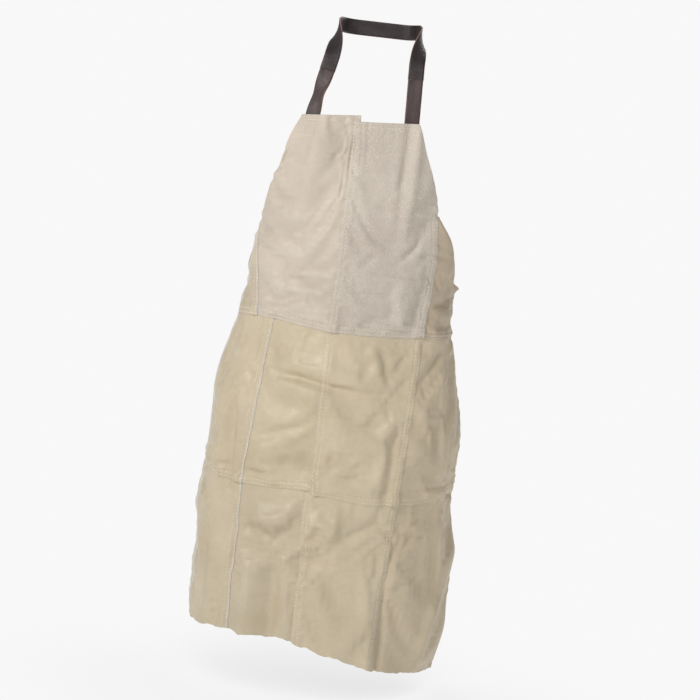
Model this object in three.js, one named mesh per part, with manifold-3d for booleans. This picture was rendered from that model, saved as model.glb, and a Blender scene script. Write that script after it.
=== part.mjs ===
// A leather welding apron in its worn shape: a patchwork of hide panels wrapped round the front of
// the body, a neck strap on two sewn tabs, and a waist strap closed by a roller buckle behind.
// Millimetres, +Z up, front towards -Y. The origin is the middle of the neck strap's inner face at
// the nape, the point the apron hangs from.

import * as THREE from 'three';
import { mergeVertices } from 'three/addons/utils/BufferGeometryUtils.js';
import Module from 'manifold-3d';

const wasm = await Module();
wasm.setup();

const { lerp, smoothstep } = THREE.MathUtils;

// ---- driving dimensions ----
// Heights are counted up from the lowest point of the hem, depths from the wearer's centre line.
const TOP_Z = 925;             // top edge of the bib
const WAIST_SEAM_Z = 579;      // bib to middle row
const LOWER_SEAM_Z = 306;      // middle row to lower row
const CORNER_Z = 652;          // lower end of the armhole curve, where the waist strap starts
const LEFT_GUSSET_TOP_Z = 722;   // upper tips of the side gussets, where the armhole edge meets them
const RIGHT_GUSSET_TOP_Z = 780;

const CHEST_HALF = 188;        // half widths and depths of the body the apron lies on
const CHEST_DEEP = 116;
const WAIST_HALF = 172;
const WAIST_DEEP = 122;
const HIP_HALF = 212;
const HIP_DEEP = 145;
const HIP_DROP = 260;          // height over which the waist widens to the hips

const CORNER_REACH = 232;      // centre line to the strap corner, along the leather
const SKIRT_REACH = 288;       // centre line to the skirt's side edge, along the leather

const LEATHER = 1.4;           // panel thickness
const SEAM_GAP = 2;            // clear space left between neighbouring panels
const TOP_STEP = 2;            // the left bib panel's top edge starts this much higher than the right one's
const TOP_SLANT = 8;           // both panels' top edges rise this much from left to right

const STRAP_WIDTH = 25;
const STRAP_THICK = 2.2;
const CLEAR = 0.3;             // gap between parts that rest on or turn in each other
const SEWN_CLEAR = 2;          // gap between a neck tab and the curved bib it is sewn behind
const HINGE_CLEAR = 2.4;       // the same gap at the waist strap's ends, which turn past the gussets

const TAB_START_Z = 888;       // lower end of the neck tabs, sewn behind the bib
const TAB_END_Z = 1010;
const LEFT_TAB = { reach: 96, leanIn: 19 };    // x of a tab's sewn end, and how far its top leans in;
const RIGHT_TAB = { reach: 69, leanIn: 2 };    // the bib hangs a little to the left of the neck
const TAB_TOP_Y = -78.3;       // both tabs lean back to this depth, on the neck strap's fold axis
const FOLD_GAP = 8;            // open length between a tab and the neck strap, where the strap bends
const NECK_HALF = 68;          // centre line to the neck strap at the side of the neck
const NAPE_Y = 72;
const NAPE_Z = 1080;
const NAPE_RUN = 36;           // half of the straight length behind the neck
const SHOULDER_DROP = 2;       // the strap's side points are this much lower than the nape
const SHOULDER_Y = -4;

const STRAP_Z = 636;           // middle height of the waist strap
const SEWN_ANGLE = THREE.MathUtils.degToRad(15);   // how far a waist strap end reaches behind its gusset
const BACK_Y = 104;            // plane of the buckle's bars
const BACK_RUN = 70;           // half length of the straight strap across the small of the back

const HEEL_X = 6;              // buckle heel bar
const BUCKLE_REACH = 22;       // heel bar to roller bar
const BAR = 3;                 // frame wire, square
const RAIL_INNER = STRAP_WIDTH / 2 + 1.7;
const ROLLER_OUTER = 3.4;
const ROLLER_BORE = 2.5;
const EYE_BORE = 2.8;          // loops that turn round the heel bar
const PRONG_WIDTH = 3.4;
const PRONG_REACH = 27.5;
const PRONG_WALL = 1.4;
const SLOT_HEIGHT = PRONG_WIDTH + 1;   // slots in both strap ends that the prong stands in
const HOLE_PITCH = 25;
const HOLE_RADIUS = 2.2;
const TIP_REACH = 58;          // strap tip beyond the heel bar
const FOLD_LENGTH = 36;        // length of strap turned back round the heel bar
const KEEPER_AT = 20;          // keeper's near edge beyond the heel bar
const KEEPER_LENGTH = 9;
const KEEPER_THICK = 1.6;

// ---- colours and finishes ----
const finish = (color, roughness, metalness = 0) => (
  new THREE.MeshStandardMaterial({ color, roughness, metalness })
);
const bibLeather = () => finish('#c9bfb0', 0.62);
const skirtLeather = () => finish('#c6b896', 0.68);
const strapLeather = () => finish('#43342f', 0.55);
const steel = () => finish('#b9bbbd', 0.3, 0.95);

// ---- the body-shaped surface the leather lies on ----
function sectionAt(z) {
  const hip = smoothstep(CORNER_Z - z, 0, HIP_DROP);
  const chest = smoothstep(z, CORNER_Z, TOP_Z);
  return {
    half: WAIST_HALF + (HIP_HALF - WAIST_HALF) * hip + (CHEST_HALF - WAIST_HALF) * chest,
    deep: WAIST_DEEP + (HIP_DEEP - WAIST_DEEP) * hip + (CHEST_DEEP - WAIST_DEEP) * chest,
  };
}

// Angle on the section's ellipse, counted from the front, whose arc length is `along`.
function angleAt(along, { half, deep }) {
  const steps = 24;
  const slice = along / steps;
  const speed = (angle) => Math.hypot(half * Math.cos(angle), deep * Math.sin(angle));
  let angle = 0;
  for (let i = 0; i < steps; i++) {
    const middle = angle + (0.5 * slice) / speed(angle);
    angle += slice / speed(middle);
  }
  return angle;
}

// Point and outward normal of the surface at a distance `along` from the centre line, at height z.
function onBody(along, z) {
  const section = sectionAt(z);
  const angle = angleAt(along, section);
  const [sin, cos] = [Math.sin(angle), Math.cos(angle)];
  return {
    point: new THREE.Vector3(section.half * sin, -section.deep * cos, z),
    normal: new THREE.Vector3(section.deep * sin, -section.half * cos, 0).normalize(),
  };
}

// ---- seams and edges: distance from the centre line along the leather, by height ----
// Straight lines through [position, value] corners, carried on past both ends.
const through = (corners) => (position) => {
  const above = corners.findIndex(([corner]) => corner >= position);
  const next = above < 0 ? corners.length - 1 : Math.max(1, above);
  const [[fromPosition, from], [toPosition, to]] = [corners[next - 1], corners[next]];
  return lerp(from, to, (position - fromPosition) / (toPosition - fromPosition));
};

const centreSeam = through([[LOWER_SEAM_Z, -28], [WAIST_SEAM_Z, -30], [680, -26], [TOP_Z, -28]]);
const lowCentreSeam = through([[0, -31], [LOWER_SEAM_Z, -37]]);
const leftSeam = through([[0, -146], [LOWER_SEAM_Z, -149], [WAIST_SEAM_Z, -127]]);
const rightSeam = through([[0, 108], [LOWER_SEAM_Z, 122], [WAIST_SEAM_Z, 133]]);
const leftGussetSeam = through([[WAIST_SEAM_Z, -158], [LEFT_GUSSET_TOP_Z, -186]]);
const rightGussetSeam = through([
  [WAIST_SEAM_Z, 134], [650, 142], [708, 145], [RIGHT_GUSSET_TOP_Z, 136],
]);

// The armhole edges fall steeply from the bib's corners, then turn out to the waist strap. The right
// one turns out sooner, along its higher gusset.
const leftArmhole = through([
  [CORNER_Z, CORNER_REACH], [680, 202], [LEFT_GUSSET_TOP_Z, 190], [764, 177], [812, 160], [861, 143],
  [908, 123], [TOP_Z, 114],
]);
const rightArmhole = through([
  [CORNER_Z, CORNER_REACH], [672, 206], [714, 189], [738, 178], [762, 157], [RIGHT_GUSSET_TOP_Z, 140],
  [814, 130], [861, 111], [908, 91], [TOP_Z, 84],
]);
const skirtReach = (z) => lerp(CORNER_REACH, SKIRT_REACH, smoothstep(CORNER_Z - z, 0, HIP_DROP));
const rightEdge = (z) => (z > CORNER_Z ? rightArmhole(z) : skirtReach(z));
const leftEdge = (z) => -(z > CORNER_Z ? leftArmhole(z) : skirtReach(z));

// Height of the raw hem: the left panels are cut short and the right ones run longer.
const hemHeight = through([
  [-SKIRT_REACH, 41], [-151, 49], [-31, 50], [-12, 36], [40, 31], [107, 11], [SKIRT_REACH, 0],
]);

// ---- solid builders ----
// A closed slab from a grid of inner-face points: at(column, row) gives a point and the way out.
function slab(at, columns, rows, thickness) {
  const positions = [];
  for (const offset of [thickness, 0]) {
    for (let row = 0; row <= rows; row++) {
      for (let column = 0; column <= columns; column++) {
        const { point, normal } = at(column, row);
        positions.push(...point.clone().addScaledVector(normal, offset).toArray());
      }
    }
  }
  const outer = (column, row) => row * (columns + 1) + column;
  const inner = (column, row) => (columns + 1) * (rows + 1) + outer(column, row);
  const faces = [];
  const quad = (a, b, c, d) => faces.push(a, b, c, a, c, d);
  for (let row = 0; row < rows; row++) {
    for (let column = 0; column < columns; column++) {
      const [right, up] = [column + 1, row + 1];
      quad(outer(column, row), outer(right, row), outer(right, up), outer(column, up));
      quad(inner(column, row), inner(column, up), inner(right, up), inner(right, row));
    }
    quad(inner(0, row), outer(0, row), outer(0, row + 1), inner(0, row + 1));
    quad(outer(columns, row), inner(columns, row), inner(columns, row + 1), outer(columns, row + 1));
  }
  for (let column = 0; column < columns; column++) {
    quad(inner(column, 0), inner(column + 1, 0), outer(column + 1, 0), outer(column, 0));
    quad(outer(column, rows), outer(column + 1, rows), inner(column + 1, rows), inner(column, rows));
  }
  const geometry = new THREE.BufferGeometry();
  geometry.setAttribute('position', new THREE.Float32BufferAttribute(positions, 3));
  geometry.setIndex(faces);
  return geometry;
}

// A hide panel between two seams and two heights. The bottom may follow the raw hem, and the top
// edge may slant by a given rise.
function panel({ left, right, low, high, columns, rows, slant = 0 }) {
  return slab((column, row) => {
    const level = lerp(typeof low === 'number' ? low : 0, high, row / rows);
    const along = lerp(left(level) + SEAM_GAP / 2, right(level) - SEAM_GAP / 2, column / columns);
    const bottom = typeof low === 'number' ? low : low(along);
    const top = high + slant * (column / columns) - SEAM_GAP / 2;
    return onBody(along, lerp(bottom + SEAM_GAP / 2, top, row / rows));
  }, columns, rows, LEATHER);
}

// A strap swept through stations of {point, across, ahead}; its inner face lies on the stations.
function ribbon(stations) {
  return slab((column, row) => {
    const { point, across, ahead } = stations[row];
    const square = across.clone().addScaledVector(ahead, -across.dot(ahead)).normalize();
    const offset = (column - 0.5) * STRAP_WIDTH;
    return { point: point.clone().addScaledVector(square, offset), normal: square.clone().cross(ahead) };
  }, 1, stations.length - 1, STRAP_THICK);
}

// Stations along a curve, the strap's width direction turning from one vector to another.
function stationsOn(curve, from, to, count) {
  return Array.from({ length: count + 1 }, (_, i) => ({
    point: curve.getPointAt(i / count),
    ahead: curve.getTangentAt(i / count),
    across: from.clone().lerp(to, i / count),
  }));
}

function solidOf(geometry) {
  const plain = geometry.clone();
  plain.deleteAttribute('normal');
  plain.deleteAttribute('uv');
  const merged = mergeVertices(plain, 1e-4);
  return new wasm.Manifold(new wasm.Mesh({
    numProp: 3,
    vertProperties: new Float32Array(merged.attributes.position.array),
    triVerts: new Uint32Array(merged.index.array),
  }));
}

function cutAway(geometry, cutters) {
  const cut = cutters.reduce((left, cutter) => left.subtract(solidOf(cutter)), solidOf(geometry)).getMesh();
  const result = new THREE.BufferGeometry();
  result.setAttribute('position', new THREE.BufferAttribute(cut.vertProperties, 3));
  result.setIndex(new THREE.BufferAttribute(cut.triVerts, 1));
  return result;
}

// Flat outline in plan (x, y), extruded upwards and centred on height z.
function upright(outline, z, height) {
  const options = { depth: height, bevelEnabled: false, curveSegments: 10 };
  const geometry = new THREE.ExtrudeGeometry(outline, options);
  return geometry.translate(0, 0, z - height / 2);
}

// Points offset sideways from a centre line, to the left of its direction when side is positive.
function besideLine(points, side) {
  return points.map((point, i) => {
    const before = points[Math.max(0, i - 1)];
    const after = points[Math.min(points.length - 1, i + 1)];
    const ahead = after.clone().sub(before).normalize();
    return new THREE.Vector2(point.x - ahead.y * side, point.y + ahead.x * side);
  });
}

function part(name, geometry, material) {
  const mesh = new THREE.Mesh(geometry, material);
  mesh.name = name;
  return mesh;
}

// ---- hide panels ----
function bibPanels() {
  const outerLeft = (z) => Math.max(leftEdge(z), leftGussetSeam(z));
  const outerRight = (z) => Math.min(rightEdge(z), rightGussetSeam(z));
  const size = { low: WAIST_SEAM_Z, columns: 7, rows: 14, slant: TOP_SLANT };
  const left = panel({ ...size, left: outerLeft, right: centreSeam, high: TOP_Z + TOP_STEP });
  const right = panel({ ...size, left: centreSeam, right: outerRight, high: TOP_Z });
  return [part('bib_left_panel', left, bibLeather()), part('bib_right_panel', right, bibLeather())];
}

function gussets() {
  const size = { low: WAIST_SEAM_Z, columns: 4, rows: 10 };
  const left = panel({ ...size, left: leftEdge, right: leftGussetSeam, high: LEFT_GUSSET_TOP_Z });
  const right = panel({ ...size, left: rightGussetSeam, right: rightEdge, high: RIGHT_GUSSET_TOP_Z });
  return [part('left_side_gusset', left, skirtLeather()), part('right_side_gusset', right, skirtLeather())];
}

function rowPanels(rowName, low, high, rows, middleSeam) {
  const size = { low, high, rows };
  const columns = [
    ['far_left', leftEdge, leftSeam, 5],
    ['centre_left', leftSeam, middleSeam, 5],
    ['centre_right', middleSeam, rightSeam, 6],
    ['far_right', rightSeam, rightEdge, 6],
  ];
  return columns.map(([place, left, right, count]) => (
    part(`${rowName}_${place}_panel`, panel({ ...size, left, right, columns: count }), skirtLeather())
  ));
}

// ---- neck strap and its sewn tabs ----
const mirror = ({ x, y, z }) => new THREE.Vector3(-x, y, z);

// Centre line of a tab, as on the right-hand side: flat against the bib's inner face, then leaning back.
function tabCurve({ reach, leanIn }) {
  const { half, deep } = sectionAt(TOP_Z);
  const sewnY = -deep * Math.sqrt(1 - (reach / half) ** 2) + STRAP_THICK + SEWN_CLEAR;
  return new THREE.CatmullRomCurve3([
    new THREE.Vector3(reach, sewnY, TAB_START_Z),
    new THREE.Vector3(reach - 0.1 * leanIn, sewnY, TOP_Z),
    new THREE.Vector3(reach - leanIn / 2, lerp(sewnY, TAB_TOP_Y, 0.4), lerp(TOP_Z, TAB_END_Z, 0.5)),
    new THREE.Vector3(reach - leanIn, TAB_TOP_Y, TAB_END_Z),
  ]);
}

// The width direction of a tab behind the bib follows the bib's own slope.
function alongBib({ reach }) {
  const { half, deep } = sectionAt(TOP_Z);
  const sin = reach / half;
  return new THREE.Vector3(half * Math.sqrt(1 - sin ** 2), deep * sin, 0).normalize();
}

const tabStations = (tab) => stationsOn(tabCurve(tab), alongBib(tab), new THREE.Vector3(1, 0, 0), 8);

function neckTabs() {
  const left = tabStations(LEFT_TAB).map(({ point, across, ahead }) => ({
    point: mirror(point),
    across: new THREE.Vector3(across.x, -across.y, across.z),
    ahead: mirror(ahead),
  }));
  return [
    part('neck_tab_left', ribbon(left), strapLeather()),
    part('neck_tab_right', ribbon(tabStations(RIGHT_TAB)), strapLeather()),
  ];
}

// Half of the neck strap, from the tab's end over the shoulder to the start of the nape run.
function neckCurves(tab) {
  const sewn = tabCurve(tab);
  const lean = sewn.getTangentAt(1);
  const start = sewn.getPointAt(1).addScaledVector(lean, FOLD_GAP);
  const side = new THREE.Vector3(NECK_HALF, SHOULDER_Y, NAPE_Z - SHOULDER_DROP);
  const nape = new THREE.Vector3(NAPE_RUN, NAPE_Y, NAPE_Z);
  // Handles of the two curves: how the strap leaves the tab, passes the side point and meets the nape.
  const leaving = start.clone().addScaledVector(lean, 25);
  const beforeSide = side.clone().add({ x: 3, y: -32, z: -10 });
  const afterSide = side.clone().add({ x: -4, y: 42, z: 6 });
  const beforeNape = nape.clone().add({ x: 30, y: 0, z: 0 });
  return [
    new THREE.CubicBezierCurve3(start, leaving, beforeSide, side),
    new THREE.CubicBezierCurve3(side, afterSide, beforeNape, nape),
  ];
}

function neckHalf(tab) {
  const facing = new THREE.Vector3(1, 0, 0);
  const onEdge = new THREE.Vector3(0, 0, -1);
  const [front, back] = neckCurves(tab);
  return [...stationsOn(front, facing, onEdge, 9), ...stationsOn(back, onEdge, onEdge, 8).slice(1)];
}

function neckStrap() {
  const right = neckHalf(RIGHT_TAB);
  const middle = { ...right.at(-1), point: new THREE.Vector3(NAPE_RUN / 3, NAPE_Y, NAPE_Z) };
  const left = neckHalf(LEFT_TAB).map(({ point, across, ahead }) => ({
    point: mirror(point),
    across: mirror(across),
    ahead: mirror(ahead).negate(),
  })).reverse();
  return part('neck_strap', ribbon([...right, middle, ...left]), strapLeather());
}

// ---- waist strap ----
// Centre line of the right-hand strap in plan, from behind the gusset to the back run.
function strapPath() {
  const inset = HINGE_CLEAR + STRAP_THICK / 2;
  const half = sectionAt(STRAP_Z).half - inset;
  const deep = sectionAt(STRAP_Z).deep - inset;
  const sewn = new THREE.EllipseCurve(0, 0, half, deep, -SEWN_ANGLE, 0);
  const centreY = BACK_Y - CLEAR / 3 - STRAP_THICK / 2;
  const [sideHandle, backHandle] = [62, 52];
  const round = new THREE.CubicBezierCurve(
    new THREE.Vector2(half, 0), new THREE.Vector2(half, sideHandle),
    new THREE.Vector2(BACK_RUN + backHandle, centreY), new THREE.Vector2(BACK_RUN, centreY),
  );
  return [...sewn.getPoints(3), ...round.getPoints(12).slice(1)];
}

// Plan outline of the buckle-end strap: one layer, then turned back on itself round the heel bar.
function buckleStrap() {
  const outerEye = EYE_BORE + STRAP_THICK;
  const face = CLEAR / 3 + STRAP_THICK;
  const meet = Math.asin(face / outerEye);
  const path = strapPath();
  const inside = besideLine(path, STRAP_THICK / 2);
  const outside = besideLine(path, -STRAP_THICK / 2);
  const shape = new THREE.Shape();
  shape.absarc(HEEL_X, BACK_Y, outerEye, meet, -meet, false);
  inside.reverse().forEach(({ x, y }) => shape.lineTo(x, y));
  outside.forEach(({ x, y }) => shape.lineTo(x, y));
  shape.lineTo(HEEL_X + FOLD_LENGTH, BACK_Y - CLEAR / 3);
  shape.lineTo(HEEL_X + FOLD_LENGTH, BACK_Y + face);
  shape.holes.push(new THREE.Path().absarc(HEEL_X, BACK_Y, EYE_BORE, 0, 2 * Math.PI, true));
  const slot = new THREE.BoxGeometry(2 * outerEye + 2, 4 * outerEye, SLOT_HEIGHT);
  slot.translate(HEEL_X, BACK_Y, STRAP_Z);
  const strap = cutAway(upright(shape, STRAP_Z, STRAP_WIDTH), [slot]);
  return part('waist_strap_buckle_end', strap, strapLeather());
}

// The tip end comes from the left, dips under the roller, rises over the heel bar and lies on the
// buckle end. The prong stands through its slot; round holes set the other lengths.
function tipStrap() {
  const under = -(ROLLER_OUTER + CLEAR + STRAP_THICK / 2);
  const flat = -(CLEAR / 3 + STRAP_THICK / 2);
  const over = EYE_BORE + STRAP_THICK + CLEAR + STRAP_THICK / 2;
  const onTop = CLEAR / 3 + STRAP_THICK * 1.5 + CLEAR;
  // Stations past the heel bar (+X) and off the bars' plane (+Y), from the flat run to the tip.
  const weave = [
    [-68, flat], [-60, flat], [-36, flat], [-34, flat],
    [-28, lerp(flat, under, 0.6)], [-24, under], [-19, under],
    [-3, over - 0.1], [0, over + 0.3], [3.4, over],
    [9, onTop + 0.6], [13, onTop], [TIP_REACH, onTop],
  ].map(([x, y]) => new THREE.Vector2(HEEL_X + x, BACK_Y + y));
  const side = strapPath().map(({ x, y }) => new THREE.Vector2(-x, y));
  const path = [...side, ...weave];
  const near = besideLine(path, STRAP_THICK / 2);
  const far = besideLine(path, -STRAP_THICK / 2).reverse();
  const strap = upright(new THREE.Shape([...near, ...far]), STRAP_Z, STRAP_WIDTH);

  const slotX = HEEL_X - 5.5;
  const cutterLength = 60;
  const slot = new THREE.BoxGeometry(13, cutterLength, SLOT_HEIGHT).translate(slotX, BACK_Y, STRAP_Z);
  const holes = [-3, -2, 1, 2].map((step) => {
    const hole = new THREE.CylinderGeometry(HOLE_RADIUS, HOLE_RADIUS, cutterLength, 10);
    return hole.translate(slotX - 0.5 + step * HOLE_PITCH, BACK_Y, STRAP_Z);
  });
  return part('waist_strap_tip_end', cutAway(strap, [slot, ...holes]), strapLeather());
}

// ---- roller buckle and keeper ----
function roundedRectangle(left, right, halfHeight, radius) {
  const shape = new THREE.Shape();
  shape.absarc(right - radius, halfHeight - radius, radius, 0, Math.PI / 2);
  shape.absarc(left + radius, halfHeight - radius, radius, Math.PI / 2, Math.PI);
  shape.absarc(left + radius, radius - halfHeight, radius, Math.PI, 1.5 * Math.PI);
  shape.absarc(right - radius, radius - halfHeight, radius, 1.5 * Math.PI, 2 * Math.PI);
  shape.closePath();
  return shape;
}

function buckleFrame() {
  const half = BAR / 2;
  const shape = roundedRectangle(-BUCKLE_REACH - half, half, RAIL_INNER + BAR, 3.5);
  shape.holes.push(roundedRectangle(half - BUCKLE_REACH, -half, RAIL_INNER, 0.8));
  const frame = new THREE.ExtrudeGeometry(shape, { depth: BAR, bevelEnabled: false, curveSegments: 4 });
  frame.translate(0, 0, -half).rotateX(Math.PI / 2).translate(HEEL_X, BACK_Y, STRAP_Z);
  return part('buckle_frame', frame, steel());
}

function buckleRoller() {
  const half = STRAP_WIDTH / 2 + 1;
  const wall = [[ROLLER_BORE, -half], [ROLLER_OUTER, -half], [ROLLER_OUTER, half], [ROLLER_BORE, half]];
  const profile = [...wall, wall[0]].map(([radius, along]) => new THREE.Vector2(radius, along));
  const roller = new THREE.LatheGeometry(profile, 16).rotateX(Math.PI / 2);
  roller.translate(HEEL_X - BUCKLE_REACH, BACK_Y, STRAP_Z);
  return part('buckle_roller', roller, steel());
}

// The eye wraps the heel bar and the shank lies over the roller.
function buckleProng() {
  const outer = EYE_BORE + PRONG_WALL;
  const [topAngle, underAngle] = [THREE.MathUtils.degToRad(100), THREE.MathUtils.degToRad(140)];
  const rest = ROLLER_OUTER + CLEAR;
  const shape = new THREE.Shape();
  shape.absarc(0, 0, outer, underAngle, topAngle + 2 * Math.PI, false);
  shape.lineTo(-PRONG_REACH + 1.5, rest + 2.4);
  shape.lineTo(-PRONG_REACH, rest + 1.6);
  shape.lineTo(-PRONG_REACH, rest + 0.5);
  shape.closePath();
  shape.holes.push(new THREE.Path().absarc(0, 0, EYE_BORE, 0, 2 * Math.PI, true));
  const prong = upright(shape, STRAP_Z, PRONG_WIDTH).translate(HEEL_X, BACK_Y, 0);
  return part('buckle_prong', prong, steel());
}

function keeper() {
  const inside = -(CLEAR / 3 + STRAP_THICK + CLEAR);
  const outside = CLEAR / 3 + 2 * STRAP_THICK + 2 * CLEAR;
  const halfWidth = STRAP_WIDTH / 2 + CLEAR;
  const [near, far] = [inside - KEEPER_THICK, outside + KEEPER_THICK];
  const shape = roundedRectangle(near, far, halfWidth + KEEPER_THICK, 1.5);
  shape.holes.push(roundedRectangle(inside, outside, halfWidth, 0.4));
  const options = { depth: KEEPER_LENGTH, bevelEnabled: false, curveSegments: 3 };
  const loop = new THREE.ExtrudeGeometry(shape, options);
  // The outline's first axis becomes depth (+Y), its second height, and the extrusion runs along +X.
  const turn = new THREE.Matrix4().makeBasis(
    new THREE.Vector3(0, 1, 0), new THREE.Vector3(0, 0, 1), new THREE.Vector3(1, 0, 0),
  );
  loop.applyMatrix4(turn).translate(HEEL_X + KEEPER_AT, BACK_Y, STRAP_Z);
  return part('strap_keeper', loop, strapLeather());
}

// ---- the whole apron ----
const apron = new THREE.Group();
apron.add(
  ...bibPanels(),
  ...gussets(),
  ...rowPanels('middle', LOWER_SEAM_Z, WAIST_SEAM_Z, 7, centreSeam),
  ...rowPanels('lower', hemHeight, LOWER_SEAM_Z, 4, lowCentreSeam),
  ...neckTabs(),
  neckStrap(),
  buckleStrap(),
  tipStrap(),
  buckleFrame(),
  buckleRoller(),
  buckleProng(),
  keeper(),
);
apron.position.set(0, -NAPE_Y, -NAPE_Z);

const group = new THREE.Group();
group.add(apron);

export default group;
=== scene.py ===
"""The looks of a leather welding apron: stitched hide panels, dark straps and a roller buckle."""

import math

import bpy
import numpy as np
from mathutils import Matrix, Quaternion, Vector


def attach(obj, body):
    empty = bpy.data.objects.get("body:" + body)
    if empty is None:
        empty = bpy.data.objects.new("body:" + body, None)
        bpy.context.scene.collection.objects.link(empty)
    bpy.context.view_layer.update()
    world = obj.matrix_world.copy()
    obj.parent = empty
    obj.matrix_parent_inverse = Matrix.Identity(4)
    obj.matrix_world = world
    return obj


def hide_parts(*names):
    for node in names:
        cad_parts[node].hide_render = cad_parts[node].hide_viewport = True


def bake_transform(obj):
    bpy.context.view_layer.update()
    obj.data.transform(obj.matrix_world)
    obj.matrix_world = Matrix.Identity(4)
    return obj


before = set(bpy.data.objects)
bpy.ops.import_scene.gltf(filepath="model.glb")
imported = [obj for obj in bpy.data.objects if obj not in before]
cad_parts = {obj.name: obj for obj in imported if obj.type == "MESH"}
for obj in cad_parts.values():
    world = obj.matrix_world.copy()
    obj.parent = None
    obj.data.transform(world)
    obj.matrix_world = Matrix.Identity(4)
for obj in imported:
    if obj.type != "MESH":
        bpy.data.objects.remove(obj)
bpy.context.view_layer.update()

# ---- the wearer's frame, in millimetres ----
# x = 0 and y = 0 lie on the wearer's axis, z = 0 is the lowest point of the hem, the front is -y.
NAPE = np.array([0.0, 72.0, 1080.0])     # the row frame's origin
TOP_Z, WAIST_Z, LOWER_Z = 925.0, 579.0, 306.0           # top of the bib, and the two cross seams
CORNER_Z, CORNER_REACH, SKIRT_REACH = 652.0, 232.0, 288.0    # side corners; from the centre line round
CHEST, WAIST, HIP = (188.0, 116.0), (172.0, 122.0), (212.0, 145.0)     # the body's half width and depth
HIP_DROP = 260.0                                        # from the corners down to the hip
LEFT_GUSSET_TOP, RIGHT_GUSSET_TOP = 722.0, 780.0

LEATHER = 1.5                           # thickness of a panel
LAP = 13.0                              # width of a lapped seam
LAP_EASE = 9.0                          # over which the upper panel comes down beside a lap
LAP_RISE = LEATHER + 0.15
PARED, PARED_WIDTH = 0.45, 6.0          # share of the thickness pared away at a lapped edge, and how far in
CURL, CURL_RADIUS = 8.5, 5.5            # how much of the left side edge turns outwards, and how tightly
CURL_FADE = (680.0, 712.0)              # heights between which it dies out upwards
RAW_EDGE = 1.9                          # width of the pale line along a raw edge
ROWS = (3.0, 10.0)                      # the two stitch rows of a seam, from the raw edge
PITCH = 6.0                             # stitch length and gap together
STRAP_WIDTH, STRAP_THICK = 25.0, 2.2
STRAP_Z = 636.0                         # middle height of the waist strap


def to_frame(points):
    return (np.asarray(points, float) - NAPE) * 0.001


def at_place(x, y, z):
    return tuple(to_frame((x, y, z)))


def smooth(value, low, high):
    t = np.clip((np.asarray(value, float) - low) / (high - low), 0, 1)
    return t * t * (3 - 2 * t)


def value_at(line, position=0.0):
    return float(line(np.array(position)))


def wander(s, z, size, seed):
    """Smooth irregular values, about -1 to 1, with features of about `size`."""
    rng = np.random.default_rng(seed)
    total = 0
    for _ in range(6):
        turn, phase = rng.uniform(0, 2 * math.pi, 2)
        wave = size * rng.uniform(0.7, 1.7)
        total = total + np.sin((s * math.cos(turn) + z * math.sin(turn)) * 2 * math.pi / wave + phase)
    return total / 3


# ---- the body-shaped surface ----
def section_at(z):
    """Half width and half depth of the body's elliptical section."""
    hip, chest = smooth(CORNER_Z - z, 0, HIP_DROP), smooth(z, CORNER_Z, TOP_Z)
    half, deep = (WAIST[i] + (HIP[i] - WAIST[i]) * hip + (CHEST[i] - WAIST[i]) * chest for i in (0, 1))
    return half, deep


ARC_STEPS = 24


def on_body(s, z):
    """Point and outward normal at arc length s from the centre line and height z."""
    half, deep = section_at(z)
    angle, step = np.zeros_like(s), s / ARC_STEPS
    for _ in range(ARC_STEPS):
        middle = angle + 0.5 * step / np.hypot(half * np.cos(angle), deep * np.sin(angle))
        angle = angle + step / np.hypot(half * np.cos(middle), deep * np.sin(middle))
    sin, cos = np.sin(angle), np.cos(angle)
    normal = np.stack([deep * sin, -half * cos, 0 * s], -1)
    normal /= np.linalg.norm(normal, axis=-1, keepdims=True)
    return np.stack([half * sin, -deep * cos, z + 0 * s], -1), normal


def through(*corners):
    """A broken line through (position, value) corners, carried on past both ends."""
    at, value = np.array(corners, float).T

    def line(position):
        i = np.clip(np.searchsorted(at, position), 1, len(at) - 1)
        share = (position - at[i - 1]) / (at[i] - at[i - 1])
        return value[i - 1] + (value[i] - value[i - 1]) * share
    return line


left_armhole = through((CORNER_Z, CORNER_REACH), (680, 202), (LEFT_GUSSET_TOP, 190), (764, 177), (812, 160),
                       (861, 143), (908, 123), (TOP_Z, 114))
right_armhole = through((CORNER_Z, CORNER_REACH), (672, 206), (714, 189), (738, 178), (762, 157),
                        (RIGHT_GUSSET_TOP, 140), (814, 130), (861, 111), (908, 91), (TOP_Z, 84))


def edge_reach(armhole, z):
    """Centre line to the free side edge: the armhole, its corners rounded, then the skirt's edge."""
    skirt = CORNER_REACH + (SKIRT_REACH - CORNER_REACH) * smooth(CORNER_Z - z, 0, HIP_DROP)
    above = np.maximum(z, CORNER_Z)
    round_off = np.minimum(9, above - CORNER_Z)
    rounded = (armhole(above - round_off) + 2 * armhole(above) + armhole(above + round_off)) / 4
    return np.where(z <= CORNER_Z, skirt, rounded)


def left_edge(z):
    return -edge_reach(left_armhole, z)


def right_edge(z):
    return edge_reach(right_armhole, z)


centre_seam = through((LOWER_Z, -28), (WAIST_Z, -30), (680, -26), (TOP_Z, -28))
low_centre_seam = through((0, -31), (LOWER_Z, -37))
left_seam = through((0, -146), (LOWER_Z, -149), (WAIST_Z, -127))
right_seam = through((0, 108), (LOWER_Z, 122), (WAIST_Z, 133))
left_gusset_seam = through((WAIST_Z, -158), (LEFT_GUSSET_TOP, -186))
right_gusset_seam = through((WAIST_Z, 134), (650, 142), (708, 145), (RIGHT_GUSSET_TOP, 136))

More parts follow.
